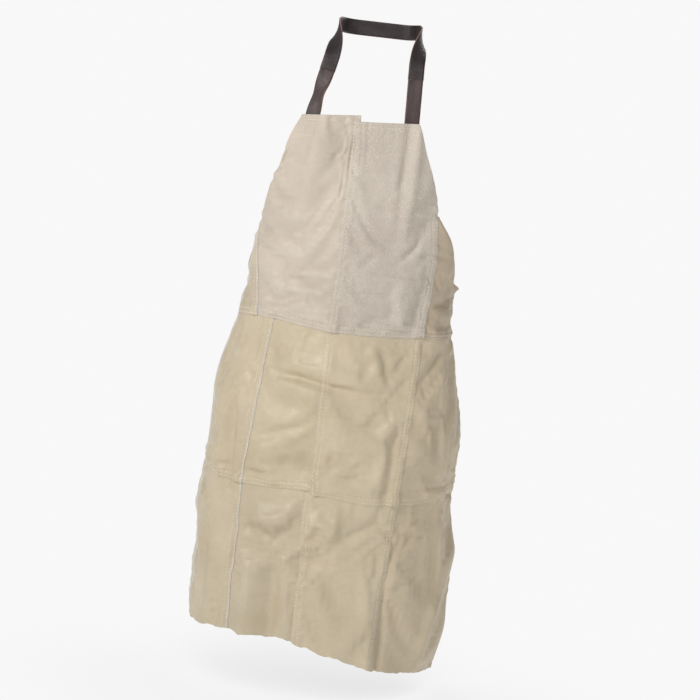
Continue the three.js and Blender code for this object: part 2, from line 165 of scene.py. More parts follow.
# Every upright seam: its raw edge, the heights it runs between, and the side its lapped strip lies on.
SEAMS = [
    (centre_seam, WAIST_Z, TOP_Z, 1), (centre_seam, LOWER_Z, WAIST_Z, 1), (low_centre_seam, 0, LOWER_Z, 1),
    (left_seam, LOWER_Z, WAIST_Z, -1), (left_seam, 0, LOWER_Z, -1),
    (right_seam, LOWER_Z, WAIST_Z, -1), (right_seam, 0, LOWER_Z, -1),
    (left_gusset_seam, WAIST_Z, LEFT_GUSSET_TOP, -1), (right_gusset_seam, WAIST_Z, RIGHT_GUSSET_TOP, -1),
]
left_top = through((-114, TOP_Z + 2), (-29, TOP_Z + 10))
right_top = through((-29, TOP_Z), (84, TOP_Z + 8))
cut_hem = through((-SKIRT_REACH, 35), (-151, 49), (-33, 53), (-14, 42), (40, 33), (107, 11),
                  (250, -6), (SKIRT_REACH, -14))

# The two cross seams wander a little about their nominal heights.
waist_line = through((-232, WAIST_Z - 1), (-160, WAIST_Z + 7), (-120, WAIST_Z + 7), (-30, WAIST_Z),
                     (110, WAIST_Z), (128, WAIST_Z + 4), (232, WAIST_Z - 1))
lower_line = through((-232, LOWER_Z + 2), (-148, LOWER_Z - 1), (-31, LOWER_Z + 6), (-22, LOWER_Z + 1),
                     (64, LOWER_Z - 7), (150, LOWER_Z - 7), (228, LOWER_Z + 4), (288, LOWER_Z + 4))


def hem_height(s):
    return cut_hem(s) + 1.6 * wander(s, 0 * s, 34, 3) + 0.6 * wander(s, 0 * s, 11, 4) + 2


# ---- folds of the worn leather: a broken line on the sheet, its half width and its height ----
FOLDS = [
    # the bib
    ([(-70, 982), (-73, 912), (-83, 851), (-88, 786), (-90, 746)], 15, 6.0),
    ([(-16, 982), (-20, 900), (-32, 840), (-44, 790)], 14, -4.0),
    ([(-168, 834), (-134, 853), (-102, 864)], 12, -3.5),
    ([(-182, 742), (-128, 758), (-75, 756)], 15, 3.5),
    ([(-186, 726), (-165, 724), (-141, 734)], 6, -3.0),
    ([(-126, 724), (-107, 718), (-77, 705)], 8, -3.2),
    ([(-76, 750), (-59, 749), (-43, 754)], 6, -2.0),
    ([(-110, 710), (-120, 672), (-124, 632)], 7, -2.5),
    ([(-152, 613), (-127, 615), (-99, 624), (-76, 634)], 9, -4.2),
    ([(71, 982), (69, 908), (66, 810), (66, 755), (72, 702)], 7, -3.6),
    ([(86, 982), (82, 917), (83, 837), (78, 780), (80, 727)], 9, 3.5),
    ([(115, 756), (99, 731), (74, 704)], 4.5, -3.0),
    ([(105, 717), (137, 719), (178, 715)], 4.5, -2.2),
    ([(73, 862), (44, 810), (26, 760)], 10, -2.2),
    ([(39, 720), (23, 701), (4, 680)], 6, -2.2),
    ([(80, 710), (86, 644), (92, 580)], 10, 3.5),
    ([(62, 692), (68, 627), (71, 584)], 8, -2.4),
    ([(120, 680), (116, 629), (113, 586)], 7, -2.6),
    ([(142, 628), (171, 639), (217, 640)], 9, -4.0),
    ([(178, 692), (187, 667), (174, 644)], 7, -2.5),
    # the middle row
    ([(-142, 500), (-104, 500), (-71, 500), (-21, 489), (27, 486), (68, 484), (116, 497)], 5, -4.2),
    ([(-136, 524), (-23, 516), (80, 507)], 13, 4.2),
    ([(56, 566), (74, 534), (84, 486)], 6, -3.6),
    ([(40, 568), (54, 540), (64, 508)], 8, 3.0),
    ([(54, 547), (42, 523), (30, 504)], 7, -2.6),
    ([(190, 574), (161, 536), (126, 494)], 7, -4.2),
    ([(206, 540), (180, 505), (140, 470)], 9, 2.8),
    ([(112, 554), (97, 533), (82, 506)], 6, -2.8),
    ([(-104, 366), (-62, 346), (-6, 346)], 22, -7.0),
    ([(-124, 474), (-70, 478), (0, 474)], 15, 4.6),
    ([(-142, 382), (-94, 404), (-40, 425)], 7, -3.2),
    ([(-126, 412), (-90, 424), (-52, 440)], 10, 2.8),
    ([(-22, 430), (-42, 369), (-58, 312)], 18, -3.6),
    ([(-114, 396), (-119, 360), (-127, 320)], 14, 3.6),
    ([(111, 462), (100, 405), (98, 352), (97, 300), (80, 268)], 7, -3.4),
    ([(94, 470), (86, 407), (82, 351), (80, 300)], 9, 3.2),
    ([(69, 463), (62, 438), (50, 413)], 11, -3.0),
    ([(43, 377), (40, 348), (34, 318)], 11, -3.0),
    ([(8, 470), (4, 400), (6, 330)], 17, 2.8),
    ([(-212, 519), (-173, 500), (-138, 474)], 7, -3.4),
    ([(-217, 502), (-212, 422), (-208, 342), (-206, 285)], 10, 6.2),
    ([(-190, 480), (-184, 400), (-178, 320), (-176, 270)], 11, -7.6),
    ([(144, 494), (150, 426), (144, 350)], 14, 3.6),
    ([(190, 470), (184, 400), (196, 320)], 12, -3.4),
    # the lower row
    ([(-134, 250), (-85, 256), (-34, 272)], 15, 6.6),
    ([(-150, 230), (-123, 234), (-104, 238), (-84, 210)], 8, -5.0),
    ([(-90, 209), (-75, 228), (-56, 252)], 8, -4.8),
    ([(-36, 262), (-4, 252), (36, 244)], 16, 6.0),
    ([(-64, 190), (-20, 190), (26, 202)], 18, -8.0),
    ([(26, 226), (55, 248), (76, 262), (101, 279)], 9, -5.0),
    ([(62, 258), (78, 181), (88, 122), (104, -150)], 9, 4.4),
    ([(48, 226), (70, 120), (88, -180)], 26, 4.0),
    ([(124, 296), (133, 241), (119, 197), (114, 130), (118, -40)], 5, -4.4),
    ([(86, 277), (104, 255), (124, 235)], 5, -3.0),
    ([(128, 250), (158, 246), (196, 242)], 5, -3.0),
    ([(130, 208), (147, 232), (164, 252)], 5, -3.0),
    ([(121, 150), (155, 162), (196, 184)], 6, -3.0),
    ([(124, 268), (152, 265), (178, 281)], 5, -2.2),
    ([(128, 228), (150, 206), (172, 196)], 8, 2.4),
    ([(244, 400), (248, 300), (254, 190)], 17, -6.0),
    ([(238, 152), (214, 90), (192, -20)], 10, 5.2),
    ([(-120, 230), (-116, 142), (-118, -30)], 12, 7.4),
    ([(-80, 216), (-77, 132), (-74, 10)], 14, -7.6),
    ([(-48, 190), (-44, 110), (-42, -30)], 9, 1.8),
    ([(-153, 256), (-151, 203), (-148, 140)], 5, -3.6),
    ([(-200, 262), (-190, 170), (-186, 20)], 12, 3.6),
    ([(-226, 250), (-214, 160), (-212, 20)], 10, -3.6),
    ([(-262, 268), (-238, 254), (-213, 243)], 7, 4.0),
    # along the side edges
    ([(208, 668), (232, 662), (258, 656)], 6, 9.0),
    ([(222, 620), (220, 575), (222, 520)], 26, -3.2),
    ([(280, 290), (284, 150), (280, -12)], 38, 8.0),
    ([(282, 60), (284, -20), (284, -120)], 28, -2.0),
    ([(-258, 480), (-262, 400), (-262, 330), (-258, 262)], 28, -4.8),
    ([(-315, 238), (-285, 236), (-255, 236)], 12, 2.0),
]
FOLD_WIDTH = 1.3        # every fold is this much wider than listed


def fold_relief(s, z):
    total = np.zeros_like(s)
    for corners, width, height in FOLDS:
        points = np.array(corners, float)
        spans = np.linalg.norm(np.diff(points, axis=0), axis=1)
        starts = np.concatenate([[0], np.cumsum(spans)])
        nearest, run = np.full_like(s, 1e9), np.zeros_like(s)
        for a, b, span, start in zip(points[:-1], points[1:], spans, starts):
            t = np.clip(((s - a[0]) * (b[0] - a[0]) + (z - a[1]) * (b[1] - a[1])) / span**2, 0, 1)
            gap = np.hypot(s - a[0] - t * (b[0] - a[0]), z - a[1] - t * (b[1] - a[1]))
            run = np.where(gap < nearest, start + t * span, run)
            nearest = np.minimum(gap, nearest)
        ends = smooth(run / starts[-1], 0, 0.3) * smooth(1 - run / starts[-1], 0, 0.3)
        depth = height * min(1.1 + 0.06 * width, 2.0)       # broad folds are the deeper ones
        total += depth * np.exp(-(nearest / (FOLD_WIDTH * width)) ** 2) * ends
    return total


def seam_puckers(s, z):
    """Short ripples square to every seam, where the thread draws the leather in."""
    total = np.zeros_like(s)
    drift = 2.2 * wander(s, z, 70, 11)
    strength = 0.22 + 0.16 * wander(s, z, 60, 12)
    for seam, low, high, side in SEAMS:
        beside = np.exp(-((s - seam(z) - 7 * side) / 11) ** 2)
        inside = smooth(z, low, low + 9) * smooth(high - z, 0, 9)
        total += strength * (beside * inside) * np.sin(2 * math.pi * z / 9.5 + drift)
    for line in (waist_line, lower_line):
        beside = np.exp(-((z - line(s) - 6) / 10) ** 2)
        total += strength * beside * np.sin(2 * math.pi * s / 10.5 + drift)
    return total


def relief(s, z):
    flutter = 3.0 * np.sin(2 * math.pi * s / 118 + 0.9) * np.exp(-np.clip(z, 0, None) / 75)
    broad = 2.2 * wander(s, z, 150, 1) + 0.8 * wander(s, z, 60, 2)
    # Over the waist strap's sewn ends the leather lies flat.
    sewn = np.exp(-((z - STRAP_Z) / 18) ** 2) * smooth(np.abs(s), 180, 205)
    return (fold_relief(s, z) + flutter + broad) * (1 - sewn) + seam_puckers(s, z) + 2.5


# ---- the cloth simulation that lets the sheet settle between its seams ----
GRID_STEP = 10.0
GRID_LOW, GRID_HIGH = 0.0, TOP_Z + 10
SETTLE_FRAMES = 34
SETTLE_LIMIT = 6.0      # no point moves further than this


def mesh_object(name, points, faces):
    mesh = bpy.data.meshes.new(name)
    mesh.from_pydata([tuple(p) for p in points], [], [tuple(int(i) for i in f) for f in faces])
    mesh.update()
    made = bpy.data.objects.new(name, mesh)
    bpy.context.scene.collection.objects.link(made)
    return made


def grid_faces(rows, columns, start=0):
    index = start + np.arange(rows * columns).reshape(rows, columns)
    quads = [index[:-1, :-1], index[:-1, 1:], index[1:, 1:], index[1:, :-1]]
    return np.stack(quads, -1).reshape(-1, 4)


def sheet_grid():
    columns = 2 * round(SKIRT_REACH / GRID_STEP) + 1
    rows = round((GRID_HIGH - GRID_LOW) / GRID_STEP) + 1
    z, share = np.meshgrid(np.linspace(GRID_LOW, GRID_HIGH, rows), np.linspace(0, 1, columns), indexing="ij")
    return left_edge(z) + (right_edge(z) - left_edge(z)) * share, z


def settled_sheet():
    """How far each point of a coarse sheet moves when cloth, held along its seams, settles on the body."""
    s, z = sheet_grid()
    rows, columns = s.shape
    point, normal = on_body(s, z)
    start = to_frame(point + normal * relief(s, z)[..., None])
    sheet = mesh_object("settling_sheet", start.reshape(-1, 3), grid_faces(rows, columns))

    held = np.zeros_like(s)
    for seam, low, high, side in SEAMS:
        along = (z >= low) & (z <= high)
        held = np.maximum(held, along * np.exp(-((s - seam(z) - 6 * side) / 9) ** 2))
    for height in (WAIST_Z, LOWER_Z, GRID_HIGH):
        held = np.maximum(held, np.exp(-((z - height) / 9) ** 2))
    held = np.maximum(0.12, held)
    held[:, [0, -1]] = 0.7
    group = sheet.vertex_groups.new(name="held")
    for i, weight in enumerate(held.ravel()):
        group.add([i], float(weight), "REPLACE")

    body_point, body_normal = on_body(s * 1.04, z)
    body = mesh_object("settling_body", to_frame(body_point - 3 * body_normal).reshape(-1, 3),
                       grid_faces(rows, columns))
    body.modifiers.new("collision", "COLLISION")
    body.collision.thickness_outer = 0.001

    cloth = sheet.modifiers.new("cloth", "CLOTH")
    settings = cloth.settings
    settings.quality = 6
    settings.mass = 0.4
    settings.tension_stiffness = settings.compression_stiffness = 30
    settings.shear_stiffness = 12
    settings.bending_stiffness = 3
    settings.vertex_group_mass = "held"
    settings.pin_stiffness = 2
    settings.shrink_min = -0.012
    settings.shrink_max = -0.012
    cloth.collision_settings.distance_min = 0.001
    cloth.point_cache.frame_start, cloth.point_cache.frame_end = 1, SETTLE_FRAMES
    for step in range(1, SETTLE_FRAMES + 1):
        bpy.context.scene.frame_set(step)
    done = sheet.evaluated_get(bpy.context.evaluated_depsgraph_get()).data
    moved = np.array([v.co for v in done.vertices], float).reshape(rows, columns, 3)
    bpy.context.scene.frame_set(1)
    bpy.data.objects.remove(sheet)
    bpy.data.objects.remove(body)
    shift = (moved - start) * 1000
    size = np.linalg.norm(shift, axis=-1, keepdims=True)
    return shift * np.minimum(1, SETTLE_LIMIT / np.maximum(size, 1e-6))


SETTLED = settled_sheet()


def settle(s, z):
    """The simulated shift at any point of the sheet, read between the coarse sheet's points."""
    if SETTLED is None:
        return 0
    rows, columns = SETTLED.shape[:2]
    across = np.clip((s - left_edge(z)) / (right_edge(z) - left_edge(z)), 0, 1) * (columns - 1)
    up = np.clip((z - GRID_LOW) / (GRID_HIGH - GRID_LOW), 0, 1) * (rows - 1)
    i, j = np.minimum(up.astype(int), rows - 2), np.minimum(across.astype(int), columns - 2)
    u, v = smooth(up - i, 0, 1)[..., None], smooth(across - j, 0, 1)[..., None]
    low = SETTLED[i, j] * (1 - v) + SETTLED[i, j + 1] * v
    high = SETTLED[i + 1, j] * (1 - v) + SETTLED[i + 1, j + 1] * v
    return low * (1 - u) + high * u


# ---- materials ----
def tree_of(name):
    material = bpy.data.materials.new(name)
    material.use_nodes = True
    material.node_tree.nodes.clear()
    return material, material.node_tree


def node(tree, kind, settings=(), **inputs):
    made = tree.nodes.new(kind)
    for key, value in dict(settings).items():
        setattr(made, key, value)
    for key, value in inputs.items():
        socket = made.inputs[int(key[1:])] if key[0] == "i" and key[1:].isdigit() else made.inputs[
            key.replace("_", " ")]
        if isinstance(value, bpy.types.NodeSocket):
            tree.links.new(value, socket)
        else:
            socket.default_value = value
    return made


def srgb(red, green, blue):
    """Linear colour of an 8-bit sRGB one."""
    parts = [c / 255 for c in (red, green, blue)]
    return tuple(((c + 0.055) / 1.055) ** 2.4 if c > 0.04045 else c / 12.92 for c in parts) + (1.0,)


def surface(name):
    """A material, its node tree, and the place on the leather in millimetres. That place is kept on the
    mesh, so that the grain moves with it."""
    material, tree = tree_of(name)
    return material, tree, node(tree, "ShaderNodeAttribute", {"attribute_name": "place"}).outputs["Vector"]


def noise(tree, vector, size, detail=3.0, stretch=(1, 1, 1), rough=0.55):
    scaled = node(tree, "ShaderNodeMapping", Vector=vector, Scale=tuple(f / size for f in stretch))
    return node(tree, "ShaderNodeTexNoise", Vector=scaled.outputs[0], Scale=1.0, Detail=detail,
                Roughness=rough).outputs["Fac"]


def cells(tree, vector, size, feature="DISTANCE_TO_EDGE"):
    scaled = node(tree, "ShaderNodeMapping", Vector=vector, Scale=(1 / size,) * 3)
    made = node(tree, "ShaderNodeTexVoronoi", {"feature": feature}, Vector=scaled.outputs[0], Scale=1.0)
    return made.outputs[0]


def ramp(tree, value, low, high, start, end):
    return node(tree, "ShaderNodeMapRange", Value=value, From_Min=low, From_Max=high, To_Min=start,
                To_Max=end).outputs[0]


def blend_colour(tree, share, first, second, mode="MIX"):
    return node(tree, "ShaderNodeMix", {"data_type": "RGBA", "blend_type": mode}, i0=share, i6=first,
                i7=second).outputs[2]


def finish_material(tree, colour, roughness, bumps, **principled):
    """Principled surface with a chain of bumps, each (height socket, strength, distance in metres)."""
    normal = None
    for height, strength, distance in bumps:
        bump = node(tree, "ShaderNodeBump", Height=height, Strength=strength, Distance=distance)
        if normal is not None:
            tree.links.new(normal, bump.inputs["Normal"])
        normal = bump.outputs[0]
    shader = node(tree, "ShaderNodeBsdfPrincipled", Base_Color=colour, Roughness=roughness, **principled)
    if normal is not None:
        tree.links.new(normal, shader.inputs["Normal"])
    node(tree, "ShaderNodeOutputMaterial", Surface=shader.outputs[0])


GLINT_PITCH = 3.8       # between the painted highlights (glints) on the pebble tops


def hide_grain(name, light, dark, pebble, pebble_strength, glints=0.0):
    """Chrome-tanned hide: pebbled grain, fine creases, soft mottling and a slight sheen. `glints` sets
    how bright the painted highlights (glints) on the pebble tops are."""
    material, tree, place = surface(name)
    broad = ramp(tree, noise(tree, place, 95, 3), 0.35, 0.65, 0, 1)
    mottled = blend_colour(tree, broad, light, dark)
    specks = ramp(tree, noise(tree, place, 9, 4, rough=0.6), 0.3, 0.7, 0.9, 1.06)
    colour = blend_colour(tree, 0.35, mottled, specks, "MULTIPLY")
    pits = cells(tree, place, pebble)
    shade = ramp(tree, pits, 0.0, 0.16, 0.84, 1.0)
    colour = blend_colour(tree, 0.25 * pebble_strength, colour, shade, "MULTIPLY")
    if glints:
        # Painted highlights: the pebble tops are lightened towards a pale colour, in patches, to stand in
        # for light glinting off the grain.
        glint_spots = ramp(tree, cells(tree, place, GLINT_PITCH, "F1"), 0.14, 0.36, glints, 0)
        glint_patches = ramp(tree, noise(tree, place, 70, 2), 0.36, 0.6, 0.2, 1)
        wear_and_glint = node(tree, "ShaderNodeMath", {"operation": "MULTIPLY"}, i0=glint_spots, i1=glint_patches).outputs[0]
        colour = blend_colour(tree, wear_and_glint, colour, srgb(240, 236, 226))
    roughness = ramp(tree, noise(tree, place, 12, 3), 0.3, 0.7, 0.4, 0.56)
    creases = noise(tree, place, 26, 3, stretch=(0.35, 1.6, 1), rough=0.5)
    bumps = [
        (noise(tree, place, 34, 2), 0.4, 0.005),
        (creases, 0.36, 0.003),
        (ramp(tree, pits, 0.0, 0.3, 0, 1), 0.9 * pebble_strength, 0.001),
        (noise(tree, place, 0.9, 2), 0.08, 0.0003),
    ]
    finish_material(tree, colour, roughness, bumps, Specular_IOR_Level=0.5, Sheen_Weight=0.05,
                    Sheen_Roughness=0.5)
    return material


def flesh_side(name, light, dark):
    """The fibrous back and the cut edges of the hide."""
    material, tree, place = surface(name)
    fibres = noise(tree, place, 2.2, 6, rough=0.8)
    patches = ramp(tree, noise(tree, place, 40, 4), 0.35, 0.65, 0, 1)
    colour = blend_colour(tree, patches, light, dark)
    colour = blend_colour(tree, 0.7, colour, ramp(tree, fibres, 0.3, 0.7, 0.82, 1.12), "MULTIPLY")
    finish_material(tree, colour, 0.95, [(fibres, 0.6, 0.0008)], Specular_IOR_Level=0.15,
                    Sheen_Weight=0.3, Sheen_Roughness=0.6)
    return material


def strap_grain(name, light, dark):
    """Dark bridle leather: fine pores, worn paler streaks along its length."""
    material, tree, place = surface(name)
    wear_and_glint = ramp(tree, noise(tree, place, 30, 5, stretch=(1.6, 0.35, 1)), 0.42, 0.68, 0, 1)
    colour = blend_colour(tree, wear_and_glint, dark, light)
    pits = cells(tree, place, 1.5)
    colour = blend_colour(tree, 0.6, colour, ramp(tree, pits, 0.0, 0.2, 0.7, 1.0), "MULTIPLY")
    roughness = ramp(tree, noise(tree, place, 7, 4), 0.3, 0.7, 0.36, 0.6)
    bumps = [(noise(tree, place, 12, 4), 0.35, 0.0012), (ramp(tree, pits, 0, 0.25, 0, 1), 0.35, 0.0004)]
    finish_material(tree, colour, roughness, bumps, Specular_IOR_Level=0.5)
    return material


def thread_fibre(name, light, dark):
    material, tree, place = surface(name)
    twist = noise(tree, place, 0.7, 2, stretch=(1, 2.4, 1))
    colour = blend_colour(tree, ramp(tree, twist, 0.35, 0.65, 0, 1), dark, light)
    finish_material(tree, colour, 0.75, [(twist, 0.5, 0.0003)], Sheen_Weight=0.3)
    return material


def worn_nickel(name):
    material, tree, place = surface(name)
    scratches = noise(tree, place, 3, 5, stretch=(0.3, 3, 1), rough=0.7)
    colour = blend_colour(tree, ramp(tree, noise(tree, place, 6, 4), 0.4, 0.7, 0, 1),
                          srgb(196, 194, 188), srgb(150, 146, 138))
    finish_material(tree, colour, ramp(tree, scratches, 0.3, 0.7, 0.2, 0.42),
                    [(scratches, 0.15, 0.0003)], Metallic=1.0)
    return material


HIDES = {
    "bib_left": hide_grain("hide_bib_left", srgb(203, 190, 174), srgb(193, 180, 164), 3.0, 0.25),
    # The right bib panel's last argument sets its painted highlights (glints) on the pebble tops.
    "bib_right": hide_grain("hide_bib_right", srgb(200, 189, 175), srgb(189, 177, 163), 3.6, 0.5, 0.34),
    "left_gusset": hide_grain("hide_left_gusset", srgb(204, 189, 166), srgb(192, 177, 153), 2.6, 0.25),
    "right_gusset": hide_grain("hide_right_gusset", srgb(190, 173, 149), srgb(176, 159, 136), 2.8, 0.3),
    "skirt_warm": hide_grain("hide_skirt_warm", srgb(202, 188, 160), srgb(190, 175, 146), 2.4, 0.15),
    "skirt_cool": hide_grain("hide_skirt_cool", srgb(203, 188, 161), srgb(192, 177, 149), 2.4, 0.15),
    "skirt_dull": hide_grain("hide_skirt_dull", srgb(200, 186, 160), srgb(189, 174, 147), 2.5, 0.15),
    "skirt_deep": hide_grain("hide_skirt_deep", srgb(200, 184, 157), srgb(188, 172, 145), 2.6, 0.2),
}
FLESH = flesh_side("flesh_side", srgb(214, 208, 200), srgb(196, 188, 178))
STRAP = strap_grain("strap_leather", srgb(92, 76, 72), srgb(58, 45, 44))
STRAP_DARK = strap_grain("strap_leather_dark", srgb(62, 48, 48), srgb(38, 28, 29))
STRAP_EDGE = flesh_side("strap_edge", srgb(150, 104, 84), srgb(112, 74, 60))
THREAD = thread_fibre("cream_thread", srgb(234, 224, 202), srgb(208, 196, 172))
DARK_THREAD = thread_fibre("dark_thread", srgb(96, 78, 68), srgb(70, 54, 48))
NICKEL = worn_nickel("worn_nickel")


# ---- meshes ----
def fast_mesh(name, points, quads, place, materials, material_index=None):
    """Mesh from arrays; `place` is each vertex's place on its leather, in millimetres."""
    mesh = bpy.data.meshes.new(name)
    quads = np.asarray(quads, int)
    mesh.vertices.add(len(points))
    mesh.vertices.foreach_set("co", np.asarray(points, np.float32).ravel())
    mesh.loops.add(quads.size)
    mesh.loops.foreach_set("vertex_index", quads.ravel())
    mesh.polygons.add(len(quads))
    mesh.polygons.foreach_set("loop_start", np.arange(0, quads.size, 4))
    mesh.polygons.foreach_set("use_smooth", np.ones(len(quads), bool))
    for material in materials:
        mesh.materials.append(material)
    if material_index is not None:
        mesh.polygons.foreach_set("material_index", np.asarray(material_index, int))
    attribute = mesh.attributes.new("place", "FLOAT_VECTOR", "POINT")
    attribute.data.foreach_set("vector", np.asarray(place, np.float32).ravel())
    mesh.update(calc_edges=True)
    mesh.validate()
    made = bpy.data.objects.new(name, mesh)
    bpy.context.scene.collection.objects.link(made)
    return made


def stand_for(node_name):
    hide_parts(node_name)


def spread(length, fine, coarse, border):
    """Shares of a length, in fine steps near both ends and coarse ones between."""
    if length <= 2 * border:
        return np.linspace(0, 1, max(2, math.ceil(length / fine) + 1))
    edge = np.linspace(0, border, math.ceil(border / fine) + 1)
    middle = np.linspace(border, length - border, math.ceil((length - 2 * border) / coarse) + 1)
    return np.concatenate([edge, middle[1:-1], length - edge[::-1]]) / length


def lap_share(distance):
    """1 over a lapped seam's width, and down to 0 beside it."""
    return 1 - smooth(distance, LAP, LAP + LAP_EASE)


class Panel:
    """One hide panel between two side lines and two level lines. Sides named in `over` are lapped over
    the neighbours, sides in `under` are tucked beneath them, and any other side is a free edge."""

    def __init__(self, name, hide, left, right, low, high, over, under, curl=0.0, lap_top=2000.0):
        self.name, self.hide = name, hide
        self.left, self.right, self.low, self.high = left, right, low, high
        self.over, self.under, self.curl, self.lap_top = over, under, curl, lap_top

    def lapped_edges(self, s, z):
        """For each lapped side edge: distance from its raw edge, and 1 where it lies over a neighbour."""
        if "right" in self.over:
            yield self.right(z) - s, 1 - smooth(z, self.lap_top - 12, self.lap_top + 10)
        if "left" in self.over:
            yield s - self.left(z), 1 + 0 * z

    def lift(self, s, z):
        """Height of the panel's inner face over the sheet, where it lies over its neighbours."""
        rise = np.zeros_like(s)
        for from_edge, lapped in self.lapped_edges(s, z):
            rise += lapped * (LAP_RISE * lap_share(from_edge) + seam_profile(from_edge))
        if "bottom" in self.over:
            base = min((WAIST_Z, LOWER_Z), key=lambda height: abs(height - value_at(self.low)))
            crossing = np.zeros_like(s)
            for seam, _, top, side in SEAMS:
                if top == base:
                    inside = (s - seam(z)) * side
                    crossing = np.maximum(crossing, smooth(inside, -6, -1) * lap_share(inside))
            from_bottom = z - self.low(s)
            rise += LAP_RISE * (1 + crossing) * lap_share(from_bottom)
            rise += seam_profile(from_bottom)
        return rise

    def thickness(self, s, z):
        """The hide is pared thinner towards its lapped edges."""
        pared = np.zeros_like(s)
        for from_edge, lapped in self.lapped_edges(s, z):
            pared = np.maximum(pared, lapped * (1 - smooth(from_edge, 0, PARED_WIDTH)))
        if "bottom" in self.over:
            pared = np.maximum(pared, 1 - smooth(z - self.low(s), 0, PARED_WIDTH))
        return LEATHER * (1 - PARED * pared)

    def place(self, s, z, height):
        """Points `height` over the panel's inner face, with the curled side edge rolled outwards."""
        height = height + self.lift(s, z)
        if self.curl:
            hold = 1 - 0.7 * np.exp(-((z - STRAP_Z) / 20) ** 2)     # the sewn strap end keeps it flat
            uneven = 1 + 0.12 * wander(z, 0 * z, 90, 21)
            length = self.curl * hold * (1 - smooth(z, *CURL_FADE)) * uneven
            start = self.left(z) + length
            turn = np.clip(start - s, 0, None) / CURL_RADIUS
            rolled, arm = turn > 0, CURL_RADIUS - height
            s = np.where(rolled, start - arm * np.sin(turn), s)
            height = np.where(rolled, CURL_RADIUS - arm * np.cos(turn), height)
        point, normal = on_body(s, z)
        return to_frame(point + normal * (height + relief(s, z))[..., None] + settle(s, z))

    def on_face(self, s, z, height):
        return self.place(s, z, self.thickness(s, z) + height)

    def grid(self):
        """Places (s, z) of the panel's grid points, finer near its sides."""
        tuck_left, tuck_right, tuck_top = (LAP * (side in self.under) for side in ("left", "right", "top"))
        middle = (value_at(self.low) + value_at(self.high)) / 2
        width = value_at(self.right, middle) - value_at(self.left, middle) + tuck_left + tuck_right
        height = 2 * (value_at(self.high) - middle) + tuck_top
        up, across = spread(height, 1.2, 2.6, 15), spread(width, 1.2, 3.6, 15)
        share_up, share_across = np.meshgrid(up, across, indexing="ij")
        s, z = 0 * share_up, middle + 0 * share_up
        for _ in range(4):
            left = np.maximum(self.left(z) - tuck_left, left_edge(z))
            right = np.minimum(self.right(z) + tuck_right, right_edge(z))
            s = left + (right - left) * share_across
            bottom = self.low(s)
            z = bottom + (self.high(s) + tuck_top - bottom) * share_up
        return s, z

    def build(self):
        s, z = self.grid()
        rows, columns = s.shape
        inner = np.zeros_like(s)
        if "top" not in self.under:
            # The free top edge is folded to the back, and so twice as thick.
            inner -= (LEATHER + 0.1) * smooth(z, self.high(s) - 12.5, self.high(s) - 11.5)
        outer = self.thickness(s, z)
        ring, (out_s, out_z) = rim_order(rows, columns), rim_direction(rows, columns)
        ring_s, ring_z = s.ravel()[ring], z.ravel()[ring]
        soft = 0.35
        points = np.concatenate([
            self.place(s, z, outer).reshape(-1, 3),
            self.place(s, z, inner).reshape(-1, 3),
            self.place(ring_s + soft * out_s, ring_z + soft * out_z, ((inner + outer) / 2).ravel()[ring]),
        ])
        count = rows * columns
        front, back = grid_faces(rows, columns), grid_faces(rows, columns, count)[:, ::-1]
        mid = 2 * count + np.arange(len(ring))
        after = np.roll(np.arange(len(ring)), -1)
        rim = np.concatenate([
            np.stack([ring, mid, mid[after], ring[after]], -1),
            np.stack([mid, ring + count, ring[after] + count, mid[after]], -1),
        ])
        quads = np.concatenate([front, back, rim])
        index = np.concatenate([np.zeros(len(front)), np.ones(len(back) + len(rim))])
        if self.curl:
            # The paler flesh shows where the side edge turns outwards and along the raw lapped edge.
            from_left, from_right = (gap.ravel()[front].mean(axis=1)
                                     for gap in (s - self.left(z), self.right(z) - s))
            index[:len(front)] = (from_left < 0.8 * self.curl) | (from_right < RAW_EDGE)
        place = np.stack([s, z, 0 * s], -1).reshape(-1, 3)
        place = np.concatenate([place, place + (0, 0, 40), np.stack([ring_s, ring_z, 0 * ring_s + 20], -1)])
        return fast_mesh(self.name + "_leather", points, quads, place, [HIDES[self.hide], FLESH], index)


def rim_order(rows, columns):
    """Indices of a grid's outer points, once round from its first corner."""
    index = np.arange(rows * columns).reshape(rows, columns)
    return np.concatenate([index[0, :-1], index[:-1, -1], index[-1, :0:-1], index[:0:-1, 0]])


def rim_direction(rows, columns):
    """The outward direction at each of those points."""
    across, up = columns - 1, rows - 1
    out_s = np.concatenate([np.zeros(across), np.ones(up), np.zeros(across), -np.ones(up)])
    out_z = np.concatenate([-np.ones(across), np.zeros(up), np.ones(across), np.zeros(up)])
    return out_s, out_z


def seam_profile(from_edge):
    """A seam's cross-section: sunk stitch rows and a puffed strip between them."""
    sunk = sum(0.38 * np.exp(-((from_edge - row) / 1.3) ** 2) for row in ROWS)
    puff = 0.28 * np.exp(-((from_edge - sum(ROWS) / 2) / 2.4) ** 2)
    return puff - sunk


# ---- stitches ----
def stitch_shape(rings, sides, reach, radius):
    """One stitch: offsets along, across and above the leather, its ends sunk, and its faces."""
    u = np.linspace(-1, 1, rings)
    around = np.arange(sides) * 2 * math.pi / sides
    girth = np.sqrt(np.clip(1 - 0.75 * u**4, 0.2, 1))[:, None]
    along = np.repeat(u * reach, sides)
    across = (radius * girth * np.cos(around)).ravel()
    above = (radius * 0.9 * girth * np.sin(around) + 0.25 - 0.75 * (u**4)[:, None]).ravel()
    index = np.arange(rings * sides).reshape(rings, sides)
    after = np.roll(index, -1, axis=1)
    faces = [np.stack([index[:-1], after[:-1], after[1:], index[1:]], -1).reshape(-1, 4)]
    for ring in (index[0, ::-1], index[-1]):
        faces.append(np.array([ring[[0, 1, 2, 3]], ring[[0, 3, 4, 5]]]))
    return along, across, above, np.concatenate(faces)


